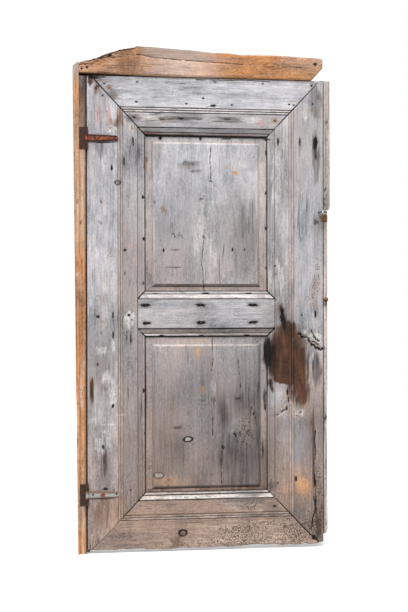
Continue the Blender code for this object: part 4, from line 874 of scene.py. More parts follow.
boardLook = dict(
    warm=0.0, ledgeBleachAndHighlight=0.0, reedGrimeAndShade=0.35, reedOchre=0.3, reedBleachAndHighlight=0.35, quirkGrimeAndShade=0.5, beadGrimeAndShade=0.2,
    edgeGrimeAndShade=0.8, arrisBleachAndHighlight=0.1, beadBleachAndHighlight=0.0, beadStain=0.1,
)
hingeStile = boardLook | dict(
    node="hinge_stile", grain="Z", seed=3, shift=(0.31, 0.07, 0.43), outerSoot=[(0, 0.05)],
    innerSoot=[(0, 0.42), (0.4, 0.42), (0.9, 0.35), (1.15, 0.35), (1.4, 0.15), (1.8, 0.15)],
)
lockStile = boardLook | dict(
    node="lock_stile", grain="Z", seed=4, shift=(0.77, 0.21, 1.13),
    warm=0.02, quirkGrimeAndShade=0.35, beadStain=0.05,
    outerSoot=[(0, 1.1), (0.12, 0.9), (0.3, 0.65), (0.5, 0.75), (0.62, 0.3), (0.9, 0.22), (1.8, 0.3)],
    innerSoot=[(0, 0.3), (0.3, 0.45), (0.5, 0.55), (0.62, 0.5), (0.8, 0.25), (0.95, 0), (1.8, 0)],
)


def makeStile(name, look, fromRight):
    # a plank between the two mitres, and a moulding along each opening
    width, height = stileForm["width"], leaf["height"]
    tails = boardTails(stileForm)

    def place(across, along):
        return (leaf["width"] - across if fromRight else across), along

    def lowEnd(across):
        return mitreRise(across, leaf["bottomWidth"])

    def highEnd(across):
        return height - mitreRise(across, leaf["topWidth"])

    def aboveRail(across):
        return leaf["upperOpening"][0] + slant - (width - across)

    def belowRail(across):
        return leaf["lowerOpening"][1] - slant + (width - across)

    edge = stileForm["stick"]
    shells = [
        boardShell(stileForm, 0, edge, lowEnd, highEnd, place, tails["plank"], look),
        boardShell(stileForm, edge, width, aboveRail, highEnd, place, tails["stick"], look),
        boardShell(stileForm, edge, width, lowEnd, belowRail, place, tails["stick"], look),
    ]
    addPiece(name, shells, greyWood(name, look), "leaf", [look["node"]])


# the top rail's mouldings face down, so its strong crease and edge lines are mostly painted shade; the bottom
# rail's face up, and its ledge carries a painted highlight as well as bleaching
topRail = boardLook | dict(
    node="top_rail", grain="X", seed=5, shift=(0.15, 0.41, 0.62), outerSoot=[(0, 0)], innerSoot=[(0, 0.25)],
    reedGrimeAndShade=0.95, reedOchre=0.1, reedBleachAndHighlight=0.8, quirkGrimeAndShade=1.0, beadGrimeAndShade=0.9, edgeGrimeAndShade=1.0,
    arrisBleachAndHighlight=0.6, beadBleachAndHighlight=0.15, beadStain=0.6,
)
bottomRail = boardLook | dict(
    node="bottom_rail", grain="X", seed=6, shift=(0.58, 0.33, 0.27), outerSoot=[(0, 0.22)],
    innerSoot=[(0, 0.2)], warm=0.12, ledgeBleachAndHighlight=0.75, reedGrimeAndShade=0.6, reedOchre=0.15, reedBleachAndHighlight=0.45,
    quirkGrimeAndShade=1.0, beadGrimeAndShade=0.9, arrisBleachAndHighlight=0.3, beadBleachAndHighlight=0.6, beadStain=0.25,
)


def makeOuterRail(name, look, width, fromTop):
    # one board whose ends run along the mitres
    form = boardForm(width)

    def place(across, along):
        return along, (leaf["height"] - across if fromTop else across)

    def lowEnd(across):
        return mitreRun(across, width)

    def highEnd(across):
        return leaf["width"] - mitreRun(across, width)

    shells = [boardShell(form, 0, width, lowEnd, highEnd, place, boardTails(form)["whole"], look)]
    addPiece(name, shells, greyWood(name, look), "leaf", [look["node"]])


def plankShell(low, high, start, end, look):
    # the middle rail's face: level, a little rounded at its long edges, and weathered
    count = int((high - low) / moulding["acrossStep"])
    across = np.concatenate([np.linspace(low, high, count), [high, low]])
    onFace = np.arange(len(across)) < count
    toEdge = np.minimum(across - low, high - across)
    depth = moulding["bandDrop"] + look["edgeRound"] * np.exp(-toEdge / look["edgeRound"])
    depth = np.where(onFace, depth, moulding["thickness"])
    x = np.linspace(start, end, int((end - start) / moulding["alongStep"]))[:, None] + 0 * across
    z = across + 0 * x
    seed = look["seed"]
    masks, sunk = leafMasks(x, z, seed, look["grain"])
    relief = wornRelief(across, x, seed) + sunk + look["grimeSink"] * masks["grime"]
    depth = depth + np.where(onFace, relief, 0)
    seam = np.exp(-(np.minimum(toEdge, np.minimum(x - start, end - x)) / look["seam"]) ** 2) * onFace
    strongest(masks, "grime", 0.8 * seam)
    tone = byPlace(z, look["innerSoot"])
    strongest(masks, "soot", tone * (0.4 + 1.1 * layeredNoise(x * 4, z * 9, seed)))
    masks["warm"] = masks["warm"] + look["warm"]
    return leafPlace(x, z, depth), masks


middleRail = boardLook | dict(
    node="middle_rail", grain="X", seed=7, shift=(0.92, 0.11, 0.71),
    outerSoot=[(0, 0)], innerSoot=[(0, 0.15)],
    warm=-0.05, beadGrimeAndShade=0.6, arrisBleachAndHighlight=0.5, beadBleachAndHighlight=0.6, beadStain=0.2, edgeRound=0.0015, seam=0.0022,
    grimeSink=0.001, reedGrimeAndShade=0, reedOchre=0, reedBleachAndHighlight=0,
    # the upper moulding faces up and its ledge carries a painted highlight; the lower one faces down, and its
    # strong quirk line is painted shade
    upper=dict(ledgeBleachAndHighlight=0.68, innerSoot=[(0, 0.2)], quirkGrimeAndShade=0.7, warm=0),
    lower=dict(ledgeBleachAndHighlight=0.5, innerSoot=[(0, 0.5)], quirkGrimeAndShade=1.2, warm=0.5),
)


def makeMiddleRail(name, look):
    # a flat plank between two stuck mouldings that face up and down
    low, high = leaf["lowerOpening"][1], leaf["upperOpening"][0]
    width, stick = stileForm["width"], stileForm["stick"]
    stickWidth = moulding["stickWidth"]
    plankEnd = leaf["openingSides"][0] - stickWidth + leaf["mitreGap"] / 2
    tail = boardTails(stileForm)["stick"]

    def upPlace(across, along):
        return along, high - (width - across)

    def downPlace(across, along):
        return along, low + (width - across)

    def stickStart(across):
        return leaf["openingSides"][0] + slant - (width - across)

    def stickEnd(across):
        return leaf["width"] - stickStart(across)

    shells = [plankShell(low + stickWidth, high - stickWidth, plankEnd, leaf["width"] - plankEnd, look)]
    for place, side in ((upPlace, "upper"), (downPlace, "lower")):
        sideLook = look | look[side]
        shells.append(boardShell(stileForm, stick, width, stickStart, stickEnd, place, tail, sideLook))
    addPiece(name, shells, greyWood(name, look), "leaf", [look["node"]])


makeStile("hingeStile", hingeStile, False)
makeStile("lockStile", lockStile, True)
makeOuterRail("topRail", topRail, leaf["topWidth"], True)
makeOuterRail("bottomRail", bottomRail, leaf["bottomWidth"], False)
makeMiddleRail("middleRail", middleRail)
print("stiles and rails built")


# Panels, loose in their grooves

panelForm = dict(
    reach=0.012, front=0.0173, back=0.0293, bevel=0.009, rise=0.007, grainDepth=0.6, grimeSink=0.0008,
    acrossStep=0.0028, alongStep=0.0042, fineStep=0.0013, lineWidth=0.0017, edgeShade=0.003,
    railShade=0.009, edgeFade=0.004, lineSlack=0.001, backPoints=24,
)

# Soot and warmth run by share of the height, across by share of the width; each side of a field has a margin
# and lines: share of the bevel, mask and amount. The base's dark lines are painted shade on the bevel that
# faces down, and the top's pale lines a painted highlight on the bevel that faces up
upperPanel = dict(
    node="upper_panel", opening=leaf["upperOpening"], grain="Z", seed=11, shift=(0.47, 0.63, 0.19),
    baseStain=0.0, topShadow=0.0065, marginWarm=0.22, warm=[(0, 0.25), (1, 0.0)],
    soot=[(0, 0.2), (0.4, 0.27), (0.75, 0.1), (1, 0.0)],
    across=[(0, 1.5), (0.3, 1), (0.5, 0.4), (0.7, 1.1), (1, 1)],
    left=dict(margin=0.0275, lines=[(0, "grime", 0.35), (0, "ochre", 0.9), (0.9, "bleach", 0.6)]),
    right=dict(margin=0.0275, lines=[(1, "grime", 0.35), (1, "ochre", 0.9), (0.1, "bleach", 0.5)]),
    base=dict(margin=0.0185, lines=[
        (0, "grime", 0.9), (1, "grime", 0.6), (0.5, "stain", 0.75), (-0.6, "stain", 0.45)]),
    top=dict(margin=0.0245, lines=[(0.5, "bleach", 0.5), (0.2, "ochre", 0.4)]),
)
lowerPanel = dict(
    node="lower_panel", opening=leaf["lowerOpening"], grain="Z", seed=12, shift=(0.05, 0.83, 0.91),
    baseStain=0.5, topShadow=0.004, marginWarm=0.15, warm=[(0, 0.15), (1, 0.1)],
    soot=[(0, 0.85), (0.3, 1.0), (0.6, 1.15), (0.8, 0.55), (1, 0.25)],
    across=[(0, 0.7), (0.4, 0.8), (0.6, 1.1), (0.75, 1.5), (1, 1.5)],
    left=dict(margin=0.0275, lines=[(0, "grime", 0.35), (1, "grime", 0.3), (0.5, "bleach", 0.15)]),
    right=dict(margin=0.0275, lines=[(0, "grime", 0.7), (1, "grime", 0.3), (0.5, "bleach", 0.1)]),
    base=dict(margin=0.014, lines=[(0, "grime", 1.0), (0.5, "grime", 0.5), (1, "grime", 0.3)]),
    top=dict(margin=0.031, lines=[(0.5, "bleach", 0.6), (1, "ochre", 0.3)]),
)


def panelLine(low, high, lowMargin, highMargin, step):  # regular places, closer together over the two bevels
    reach, bevel, fine = panelForm["reach"], panelForm["bevel"], panelForm["fineStep"]
    runs = [np.arange(low - reach, high + reach, step), [low, high, high + reach]]
    for foot in (low + lowMargin, high - highMargin - bevel):
        runs += [np.arange(foot - 3 * fine, foot + bevel + 3 * fine, fine), [foot, foot + bevel]]
    return np.unique(np.round(np.concatenate(runs), 4))


def makePanel(name, look):
    # the face rises with the least distance past the four margins, over the width of the bevel
    left, right = leaf["openingSides"]
    low, high = look["opening"]
    seed, bevel = look["seed"], panelForm["bevel"]
    faceX = panelLine(left, right, look["left"]["margin"], look["right"]["margin"], panelForm["acrossStep"])
    backX = np.linspace(faceX[-1], faceX[0], panelForm["backPoints"])
    z = panelLine(low, high, look["base"]["margin"], look["top"]["margin"], panelForm["alongStep"])[:, None]
    x = np.concatenate([faceX, backX]) + 0 * z
    z = z + 0 * x
    gaps = dict(left=x - left, right=right - x, base=z - low, top=high - z)
    inset = np.minimum.reduce(list(gaps.values()))
    past = {side: gap - look[side]["margin"] for side, gap in gaps.items()}
    nearest = np.minimum.reduce(list(past.values()))
    fielded = panelForm["front"] - panelForm["rise"] * np.clip(nearest / bevel, 0, 1)
    masks, sunk = leafMasks(x, z, seed, look["grain"])
    onFace = np.arange(x.shape[1]) < len(faceX)
    relief = wornRelief(x, z, seed) * np.clip(inset / panelForm["edgeFade"], 0, 1)
    relief = relief + sunk + panelForm["grimeSink"] * masks["grime"]
    depth = np.where(onFace, fielded + relief, panelForm["back"])
    patchy = 0.35 + 0.9 * layeredNoise(x * 14, z * 14, seed + 5)
    # dark lines at the base are painted shade and pale lines at the top a painted highlight; the other lines
    # are tones of the wood
    for side in past:
        reached = nearest >= past[side] - panelForm["lineSlack"]
        for share, mask, amount in look[side]["lines"]:
            line = np.exp(-((past[side] - share * bevel) / panelForm["lineWidth"]) ** 2) * reached
            strongest(masks, mask, amount * line * (0.5 + 0.7 * patchy))
    strongest(masks, "stain", look["baseStain"] * (past["base"] < 0) * patchy)
    inMargin = nearest < 0
    share = (z - low) / (high - low)
    soot = byPlace(share, look["soot"]) * (0.1 + 1.7 * layeredNoise(x * 7, z * 4, seed + 9, 2))
    strongest(masks, "soot", soot * byPlace((x - left) / (right - left), look["across"]))
    masks["soot"] = masks["soot"] * np.where(inMargin, 0.45, 1)
    masks["warm"] = masks["warm"] + byPlace(share, look["warm"]) + look["marginWarm"] * inMargin
    # painted shade: dark along the panel's edges where they run under the frame, a painted shadow just under
    # the rail above, and painted shade fading away below it
    underRail = np.clip(high - z, 0, 1)
    dirtAndShade = np.exp(-(np.clip(inset, 0, 1) / panelForm["edgeShade"]) ** 2)
    dirtAndShade = np.maximum(dirtAndShade, np.exp(-(underRail / look["topShadow"]) ** 4))
    strongest(masks, "grime", 0.95 * dirtAndShade)
    strongest(masks, "grime", 0.5 * np.exp(-underRail / panelForm["railShade"]) * patchy)
    shells = [(leafPlace(x, z, depth), masks)]
    wood = greyWood(name, look, panelForm["grainDepth"])
    addPiece(name, shells, wood, "leaf", [look["node"]])


makePanel("upperPanel", upperPanel)
makePanel("lowerPanel", lowerPanel)
print("panels built")


# Square timbers: a rounded rectangle carried along one axis

def roundedLoop(low, high, radius, step):
    # points round a rectangle with quarter-round corners, at most step apart on its sides
    lowU, lowV = low
    highU, highV = high
    turn = np.linspace(0, math.pi / 2, 4)
    corners = [(highU - radius, highV - radius, 0), (lowU + radius, highV - radius, 1),
               (lowU + radius, lowV + radius, 2), (highU - radius, lowV + radius, 3)]
    arcs = [np.stack([u + radius * np.cos(turn + k * math.pi / 2),
                      v + radius * np.sin(turn + k * math.pi / 2)], 1) for u, v, k in corners]
    loop = []
    for arc, following in zip(arcs, arcs[1:] + arcs[:1]):
        count = max(int(np.hypot(*(following[0] - arc[-1])) / step), 1)
        share = np.linspace(0, 1, count + 1)[1:-1, None]
        loop += [arc, arc[-1] + (following[0] - arc[-1]) * share]
    return np.concatenate(loop)


def timberNoise(points, seed, amount):  # pulls every point towards the section's middle by a woody noise
    middle = points.mean(axis=1, keepdims=True)
    length = np.ptp(points.reshape(-1, 3), axis=0)
    axis = int(length.argmax())
    others = [k for k in range(3) if k != axis]
    around = (points[..., others] - middle[..., others]).sum(-1)
    eaten = amount * layeredNoise(around * 140, points[..., axis] * 5, seed)
    inward = middle - points
    inward[..., axis] = 0
    size = np.linalg.norm(inward, axis=-1, keepdims=True)
    return points + inward / np.maximum(size, 1e-6) * eaten[..., None]


edgeStrips = dict(
    round=0.002, step=0.003, along=0.005, wear=0.0012, taper=0.006, taperLength=0.02, seamWidth=0.003,
    upperStrip=dict(node="upper_edge_strip", seed=31, shift=(0.2, 0.9, 0.3),
                    silver=(206, 199, 196), umber=(176, 154, 144)),
    lowerStrip=dict(node="lower_edge_strip", seed=32, shift=(0.6, 0.4, 0.8),
                    silver=(226, 219, 215), umber=(196, 176, 166)),
)


def makeStrip(name):
    # a lath whose outer edge draws in towards its lower end, worn all round
    look = edgeStrips[name]
    seed = look["seed"]
    low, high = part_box(look["node"])
    loop = roundedLoop((low.x, low.y), (high.x, high.y), edgeStrips["round"], edgeStrips["step"])
    z = np.linspace(low.z, high.z, int((high.z - low.z) / edgeStrips["along"]))[:, None]
    fromEnd = np.clip(1 - (z - low.z) / edgeStrips["taperLength"], 0, 1)
    shareOut = (loop[:, 0] - low.x) / (high.x - low.x)
    x = loop[:, 0] - edgeStrips["taper"] * fromEnd ** 2 * shareOut
    points = timberNoise(gridPoints(x, loop[:, 1], z), seed, edgeStrips["wear"])
    x, y, z = points[..., 0], points[..., 1], points[..., 2]
    worn = layeredNoise(x * 200 + y * 160, z * 6, seed)
    spots = easeStep(layeredNoise(x * 120, z * 45, seed + 3), 0.64, 0.8)
    # painted shadow: a dark line down the inner edge, in the gap against the stile
    seam = np.exp(-((x - low.x) / edgeStrips["seamWidth"]) ** 2)
    masks = dict(warm=0.35 + 0.5 * worn, soot=0.6 * easeStep(worn, 0.4, 0.7),
                 grime=np.maximum(0.95 * seam, 0.7 * spots), bleach=0.3 * worn)
    wood = woodMaterial(name + "Wood", "Z", look["silver"], look["umber"], look["shift"])
    addPiece(name, [(points, masks)], wood, "leaf", [look["node"]])


makeStrip("upperStrip")
makeStrip("lowerStrip")

backBattens = dict(
    round=0.004, step=0.008, along=0.008, wear=0.0022, endDirt=0.006,
    silver=(186, 180, 176), umber=(148, 118, 98),
    topBatten=dict(node="top_batten", seed=41, shift=(0.1, 0.5, 0.9)),
    middleBatten=dict(node="middle_batten", seed=42, shift=(0.4, 0.8, 0.2)),
    bottomBatten=dict(node="bottom_batten", seed=43, shift=(0.7, 0.2, 0.5)),
)


def makeBatten(name):
    # a plank with rounded edges, worn all round, dirtier towards its ends
    look = backBattens[name]
    seed = look["seed"]
    low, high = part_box(look["node"])
    loop = roundedLoop((low.y, low.z), (high.y, high.z), backBattens["round"], backBattens["step"])
    x = np.linspace(low.x, high.x, int((high.x - low.x) / backBattens["along"]))[:, None]
    points = timberNoise(gridPoints(x, loop[:, 0], loop[:, 1]), seed, backBattens["wear"])
    x, z = points[..., 0], points[..., 2]
    worn = layeredNoise(z * 30, x * 3, seed)
    toEnd = np.minimum(x - low.x, high.x - x)
    masks = dict(warm=0.55 + 0.5 * (worn - 0.5), soot=0.5 * easeStep(worn, 0.45, 0.75),
                 grime=0.4 * np.exp(-toEnd / backBattens["endDirt"]))
    wood = woodMaterial(name + "Wood", "X", backBattens["silver"], backBattens["umber"], look["shift"])
    addPiece(name, [(points, masks)], wood, "leaf", [look["node"]])


makeBatten("topBatten")
makeBatten("middleBatten")
makeBatten("bottomBatten")
print("strips and battens built")


# Hinge post: a proud outer edge that tapers, a face for the plates and a stop behind the leaf

hingePost = dict(
    stepX=-0.011, outerFoot=-0.016, outerTop=-0.0335, faceX=0.016, stopX=0.030, overlap=0.001,
    proudY=-0.041, faceY=-0.035, stopY=0.0065, backY=0.035, chipY=-0.011, chipStep=0.0005,
    hornLow=1.864, hornHigh=1.879, shoulder=1.8367, chipTop=1.8257,
    along=0.006, step=0.0025, wear=0.0014, hollow=0.0012, seamWidth=0.003, seeds=(51, 52),
    sidePoints=10, depthPoints=22, nearFace=0.004,
    silver=(208, 178, 154), umber=(202, 141, 93), shift=(0.5, 0.1, 0.3),
    warmth=[
        (0, 0.5), (0.2, 0.6), (0.36, 0.5), (0.48, 0.4), (0.67, 0.75), (0.83, 0.9), (0.98, 1.0), (1.1, 0.8),
        (1.2, 0.3), (1.5, 0.1), (1.6, 0.3), (1.75, 0.6), (1.88, 0.3)],
)


def postMasks(points, seed):
    # tone runs by height: grey brown high up, orange at half height, paler below; painted shade darkens it
    # beside the leaf
    x, y, z = points[..., 0], points[..., 1], points[..., 2]
    runs = layeredNoise(x * 130 + y * 70, z * 3, seed)
    cloud = layeredNoise(x * 40 + y * 20, z * 6, seed + 9)
    spots = easeStep(layeredNoise(x * 110, z * 26, seed + 3), 0.66, 0.8)
    bared = easeStep(layeredNoise(x * 30, z * 2.2, seed + 5), 0.5, 0.8)
    paler = easeStep(layeredNoise(x * 60, z * 5, seed + 7), 0.5, 0.8)
    grey = easeStep(z + 0.12 * (runs - 0.5), 1.76, 1.87)
    warm = byPlace(z, hingePost["warmth"]) + 0.15 + 0.6 * (cloud - 0.5) - 0.5 * grey
    front = y < hingePost["faceY"] + hingePost["nearFace"]
    face = front * (x > hingePost["stepX"])
    # painted shade in the gap beside the leaf, with the face darker higher up
    dusk = easeStep(x + 0.008 * (runs - 0.5), 0.002, 0.014) * front
    dusk = dusk + easeStep(z + 0.1 * (cloud - 0.5), 1.5, 1.68) * face + easeStep(z, 1.74, 1.8) * face
    # a painted shadow line in the corner by the leaf's edge
    seam = np.exp(-((x - hingePost["faceX"]) / hingePost["seamWidth"]) ** 2)
    return dict(
        warm=warm, ochre=0.45 * bared * np.clip(warm, 0, 1), bleach=0.35 * paler + 0.35 * grey,
        soot=np.maximum(0.45 * easeStep(runs, 0.46, 0.7) + 0.3 * grey, 0.6 * dusk),
        grime=np.maximum.reduce([0.5 * easeStep(z, 1.62, 1.8) * face, 0.5 * spots, 0.85 * seam]),
    )


def densify(corners, step):  # extra points along each side of a closed outline, at most step apart
    sides = []
    for start, end in zip(corners, np.roll(corners, -1, axis=0)):
        count = max(int(np.hypot(*(end - start)) / step), 1)
        sides.append(start + (end - start) * np.linspace(0, 1, count, endpoint=False)[:, None])
    return np.concatenate(sides)


def makePost():
    # outer edge: its outer side leans in towards the foot, and its top is cut on a slant
    post = hingePost
    edgeSeed, faceSeed = post["seeds"]
    sides = np.linspace(0, 1, post["sidePoints"])
    depths = np.linspace(post["proudY"], post["backY"], post["depthPoints"])[1:-1]
    share = np.concatenate([sides, np.ones(len(depths)), sides[::-1], np.zeros(len(depths))])
    y = np.concatenate([0 * sides + post["proudY"], depths, 0 * sides + post["backY"], depths[::-1]])
    top = post["hornLow"] + (post["hornHigh"] - post["hornLow"]) * share
    z = top * np.linspace(0, 1, int(post["hornHigh"] / post["along"]))[:, None]
    outerX = post["outerFoot"] + (post["outerTop"] - post["outerFoot"]) * z / post["hornHigh"]
    x = outerX + (post["stepX"] - outerX) * share
    edge = timberNoise(gridPoints(x, y, z), edgeSeed, post["wear"])
    # face and stop: one stepped section, chipped low at its front under the head
    innerX, faceX, stopX = post["stepX"] - post["overlap"], post["faceX"], post["stopX"]
    corners = np.array([
        (innerX, post["faceY"]), (faceX, post["faceY"]), (faceX, post["chipY"]),
        (faceX, post["chipY"] + post["chipStep"]), (faceX, post["stopY"]), (stopX, post["stopY"]),
        (stopX, post["backY"]), (innerX, post["backY"])])
    x, y = densify(corners, post["step"]).T
    top = np.where(y <= post["chipY"] + 1e-6, post["chipTop"], post["shoulder"])
    z = top * np.linspace(0, 1, int(post["shoulder"] / post["along"]))[:, None]
    hollow = post["hollow"] * layeredNoise(x * 120, z * 4, faceSeed)
    face = gridPoints(x, y + hollow * (y < post["faceY"] + 0.0001), z)
    shells = [(edge, postMasks(edge, edgeSeed)), (face, postMasks(face, faceSeed))]
    wood = woodMaterial("postWood", "Z", post["silver"], post["umber"], post["shift"])
    addPiece("hingePost", shells, wood, "frame", ["hinge_post"])


makePost()


# Head beam: broken along its top, sawn off on a slant at the lock end; lines, knots and nails in millimetres

headBeam = dict(
    topLine=[
        (-10.7, 1877), (0.5, 1881.5), (36.3, 1890.5), (65.4, 1899.5), (80, 1907), (94.4, 1914.5),
        (125.8, 1922.2), (154.8, 1934), (190.6, 1939.2), (213, 1945), (235, 1943.5), (307.5, 1939),
        (430.4, 1932), (502.8, 1926), (560, 1925.8), (618.7, 1920.3), (734.6, 1922.6), (843.3, 1919),
        (915.8, 1916), (931, 1914.5), (937.5, 1911.5)],
    baseLine=[(-10.7, 1837), (20, 1837), (200, 1831), (320, 1829), (895.5, 1829), (937.5, 1876)],
    crackWidth=1.7, crack=[(210, 1911), (275, 1901), (346, 1895), (450, 1890), (548, 1886), (620, 1882)],
    bends=[
        (3.5, [(185, 1944), (212, 1926), (221, 1905), (210, 1880), (200, 1845)]),
        (3, [(142, 1930), (163, 1915), (173, 1893), (168, 1855)]),
        (2.5, [(228, 1920), (240, 1900), (236, 1870), (222, 1845)])],
    knots=[
        (108, 1905, 8, 6, 1), (190, 1937, 12, 4, 1), (73, 1895, 20, 4, 0.6), (908.5, 1891, 9, 6, 1.2),
        (20, 1857, 6, 5, 0.9)],
    nails=[(0.5, 1853), (908.5, 1891)],
    warmth=[
        (0.0, 0.55), (0.063, 0.8), (0.117, 0.7), (0.171, 1.0), (0.225, 0.6), (0.279, 0.2), (0.333, 0.05),
        (0.387, 0.0), (0.441, 0.05), (0.495, 0.25), (0.549, 0.7), (0.603, 0.95), (0.711, 1.0), (0.765, 0.95),
        (0.819, 0.75), (0.92, 0.6)],
    shade=[(0.0, 0.2), (0.063, 0.25), (0.12, 0.15), (0.155, 0.55), (0.205, 0.7), (0.24, 0.1), (0.3, 0.0)],
    frontY=-0.043, backY=0.035, along=0.0032,
    silver=(212, 189, 176), umber=(204, 142, 94), shift=(0.9, 0.6, 0.1),
    stop=((0.0303, 0.0065, 1.816), (0.8955, 0.035, 1.847)), stopRound=0.0015, stopStep=0.006,
    frontPoints=42, topPoints=26, stopPoints=150,
)


def makeHead():
    # every station is a section between the base line and the top line; the front is split and worn
    head = headBeam
    topX, topZ = metres(head["topLine"]).T
    baseX, baseZ = metres(head["baseLine"]).T
    crackX, crackZ = metres(head["crack"]).T
    x = np.unique(np.concatenate([np.arange(topX[0], topX[-1], head["along"]), topX, baseX]))[:, None]
    ragged = 0.005 * layeredNoise(x * 90, 0 * x, 61) * (1 - easeStep(x, 0.2, 0.3))
    high = np.interp(x, topX, topZ) - ragged - 0.0018 * layeredNoise(x * 45, 0 * x, 62)
    low = np.interp(x, baseX, baseZ) + 0.0012 * layeredNoise(x * 40, 0 * x, 63)
    up = np.linspace(0, 1, head["frontPoints"])
    back = np.linspace(0, 1, head["topPoints"])[1:-1]
    down = up[::-2]
    rise = np.concatenate([up, np.ones(len(back)), down, np.zeros(len(back))])
    inward = np.concatenate([0 * up, back, np.ones(len(down)), back[::-1]])
    onFront = np.arange(len(rise)) < len(up)
    z = low + (high - low) * rise
    x = x + 0 * z
    crack = crackField(x, z, head["crack"], head["crackWidth"])
    split = easeStep(x, crackX[0], crackX[0] + 0.02) * (1 - easeStep(x, 0.4, crackX[-1]))
    upper = (z > np.interp(x, crackX, crackZ)) * split
    knots = markField(x, z, head["knots"], 64)
    broken = (1 - easeStep(x, 0.16, 0.26)) * easeStep(z - np.interp(x, topX, topZ), -0.055, -0.01)
    splinters = layeredNoise(x * 70 + z * 120, z * 160 - x * 60, 65)
    fibres = layeredNoise(x * 5, z * 150, 66)
    relief = 0.0012 * fibres + 0.005 * crack + 0.0015 * upper + 0.004 * knots + 0.011 * broken * splinters
    relief = relief + 0.0025 * np.exp(-np.minimum(z - low, high - z) / 0.0025)
    y = head["frontY"] + (head["backY"] - head["frontY"]) * inward + np.where(onFront, relief, 0)
    # tones drift along the beam, with lines across it where a knot or a saw has crossed
    cloud = layeredNoise(x * 8, z * 30, 67)
    drift = x + 0.05 * (layeredNoise(x * 14, z * 14, 68) - 0.5)
    upright = layeredNoise(x * 130, z * 8, 69, 2)
    chips = layeredNoise(x * 190 + z * 260, z * 170 - x * 70, 70, 3)
    share = (z - low) / (high - low)
    pale = easeStep(x, 0.7, 0.8) * easeStep(share, 0.35, 0.8)
    fading = 1 - easeStep(x, 0.3, 0.6)
    # painted highlight: a pale warm line along the lower arris, fading towards the lock end
    arris = np.exp(-((z - low - 0.004) / 0.0035) ** 2) * fading
    bend = sum(crackField(x, z, line, width) for width, line in head["bends"])
    warm = byPlace(drift, head["warmth"]) + 0.1 + 0.4 * (cloud - 0.5)
    soot = byPlace(drift, head["shade"]) * (0.4 + 1.2 * upright)
    soot = np.maximum(0.7 * broken * easeStep(splinters, 0.4, 0.62), soot) + 0.06 * easeStep(cloud, 0.5, 0.8)
    ochre = 0.6 * easeStep(x, 0.5, 0.6) * (1 - pale) * easeStep(cloud, 0.3, 0.7)
    holes = 0.6 * broken * easeStep(splinters, 0.62, 0.75)
    chipped = 0.35 * (1 - easeStep(x, 0.13, 0.2)) * easeStep(share, 0.1, 0.6) * easeStep(chips, 0.46, 0.62)
    rubbed = 0.3 * easeStep(x, 0.24, 0.3) * (1 - easeStep(x, 0.4, 0.55)) * cloud
    masks = dict(
        warm=warm - 0.2 * upper - 0.25 * pale + 0.2 * bend,
        soot=soot + upper * (0.3 + 0.4 * cloud) + 0.15 * bend,
        ochre=np.maximum(ochre, 0.7 * arris), bleach=np.maximum(chipped, rubbed),
        grime=np.maximum.reduce([(0.25 + 0.5 * fading) * crack, knots, holes]),
    )
    (startX, startY, startZ), (endX, endY, endZ) = head["stop"]
    loop = roundedLoop((startY, startZ), (endY, endZ), head["stopRound"], head["stopStep"])
    stop = gridPoints(np.linspace(startX, endX, head["stopPoints"])[:, None], loop[:, 0], loop[:, 1])
    shells = [(gridPoints(x, y, z), masks), (stop, dict(warm=0.8, soot=0.3))]
    wood = woodMaterial("headWood", "X", head["silver"], head["umber"], head["shift"])
    addPiece("headBeam", shells, wood, "frame", ["head_beam"])


makeHead()
print("post and head built")


# Nails and screws: a turned profile in millimetres, listed as radius and height above the seat

nailForm = dict(profile=[(0.4, 1.3), (1.6, 1.15), (2.8, 0.7), (3.6, 0), (3, -4)], sides=14)
screwForm = dict(
    profile=[(0.3, 1.6), (1.2, 1.6), (2.2, 1.4), (3.2, 0.9), (3.8, 0.2), (3.4, -0.8)],
    sides=40, slot=0.0007, slotDepth=0.0009, slotBase=0.0006,
)


def turnedShell(form, seat, outward, size, turn=0.0):
    # rings of the profile round an axis that points along -Y or +Y, and a slot across a screw's head
    radius, height = metres(form["profile"]).T * size
    angle = np.linspace(0, 2 * math.pi, form["sides"], endpoint=False)
    u = radius[:, None] * np.cos(angle)
    v = radius[:, None] * np.sin(angle)
    lift = height[:, None] + 0 * u
    if "slot" in form:
        across = u * math.sin(turn) - v * math.cos(turn)
        lift = lift - form["slotDepth"] * (abs(across) < form["slot"]) * (lift > form["slotBase"])
    return gridPoints(seat[0] + u, seat[1] + outward * lift, seat[2] + v), {}


redRust = ((72, 32, 22), (172, 98, 66))
blackRust = ((28, 19, 16), (88, 52, 38))
plateRust = ((30, 18, 13), (96, 60, 42))
brassTarnish = ((50, 36, 22), (104, 74, 40))
rustyIron = metalMaterial(
    "rustyIron", bare=(86, 66, 60), metallic=0.6, roughness=0.6, cover=0.7, scale=26.0, rust=redRust,
    rim=dict(height=1.589, taper=0.03, clear=0.0075, colour=(52, 24, 22)))
blackIron = metalMaterial(
    "blackIron", bare=(42, 34, 28), metallic=0.3, roughness=0.7, cover=0.55, scale=90.0, rust=plateRust,
    bump=0.6)
dullZinc = metalMaterial(
    "dullZinc", bare=(170, 169, 164), metallic=0.15, roughness=0.5, cover=0.3, scale=60.0, rust=redRust,
    spot=dict(place=(0.078, -0.0385, 0.225), radius=0.016, cover=0.5),
    rim=dict(height=0.2245, taper=0.02, clear=0.007, colour=(126, 102, 88)))
darkSteel = metalMaterial(
    "darkSteel", bare=(44, 40, 38), metallic=0.4, roughness=0.5, cover=0.38, scale=160.0, rust=blackRust)
nailIron = metalMaterial(
    "nailIron", bare=(56, 50, 48), metallic=0.5, roughness=0.55, cover=0.3, scale=240.0, rust=blackRust)
brightSteel = metalMaterial(
    "brightSteel", bare=(188, 189, 190), metallic=0.95, roughness=0.3, cover=0.26, scale=130.0,
    rust=blackRust, bump=0.15)
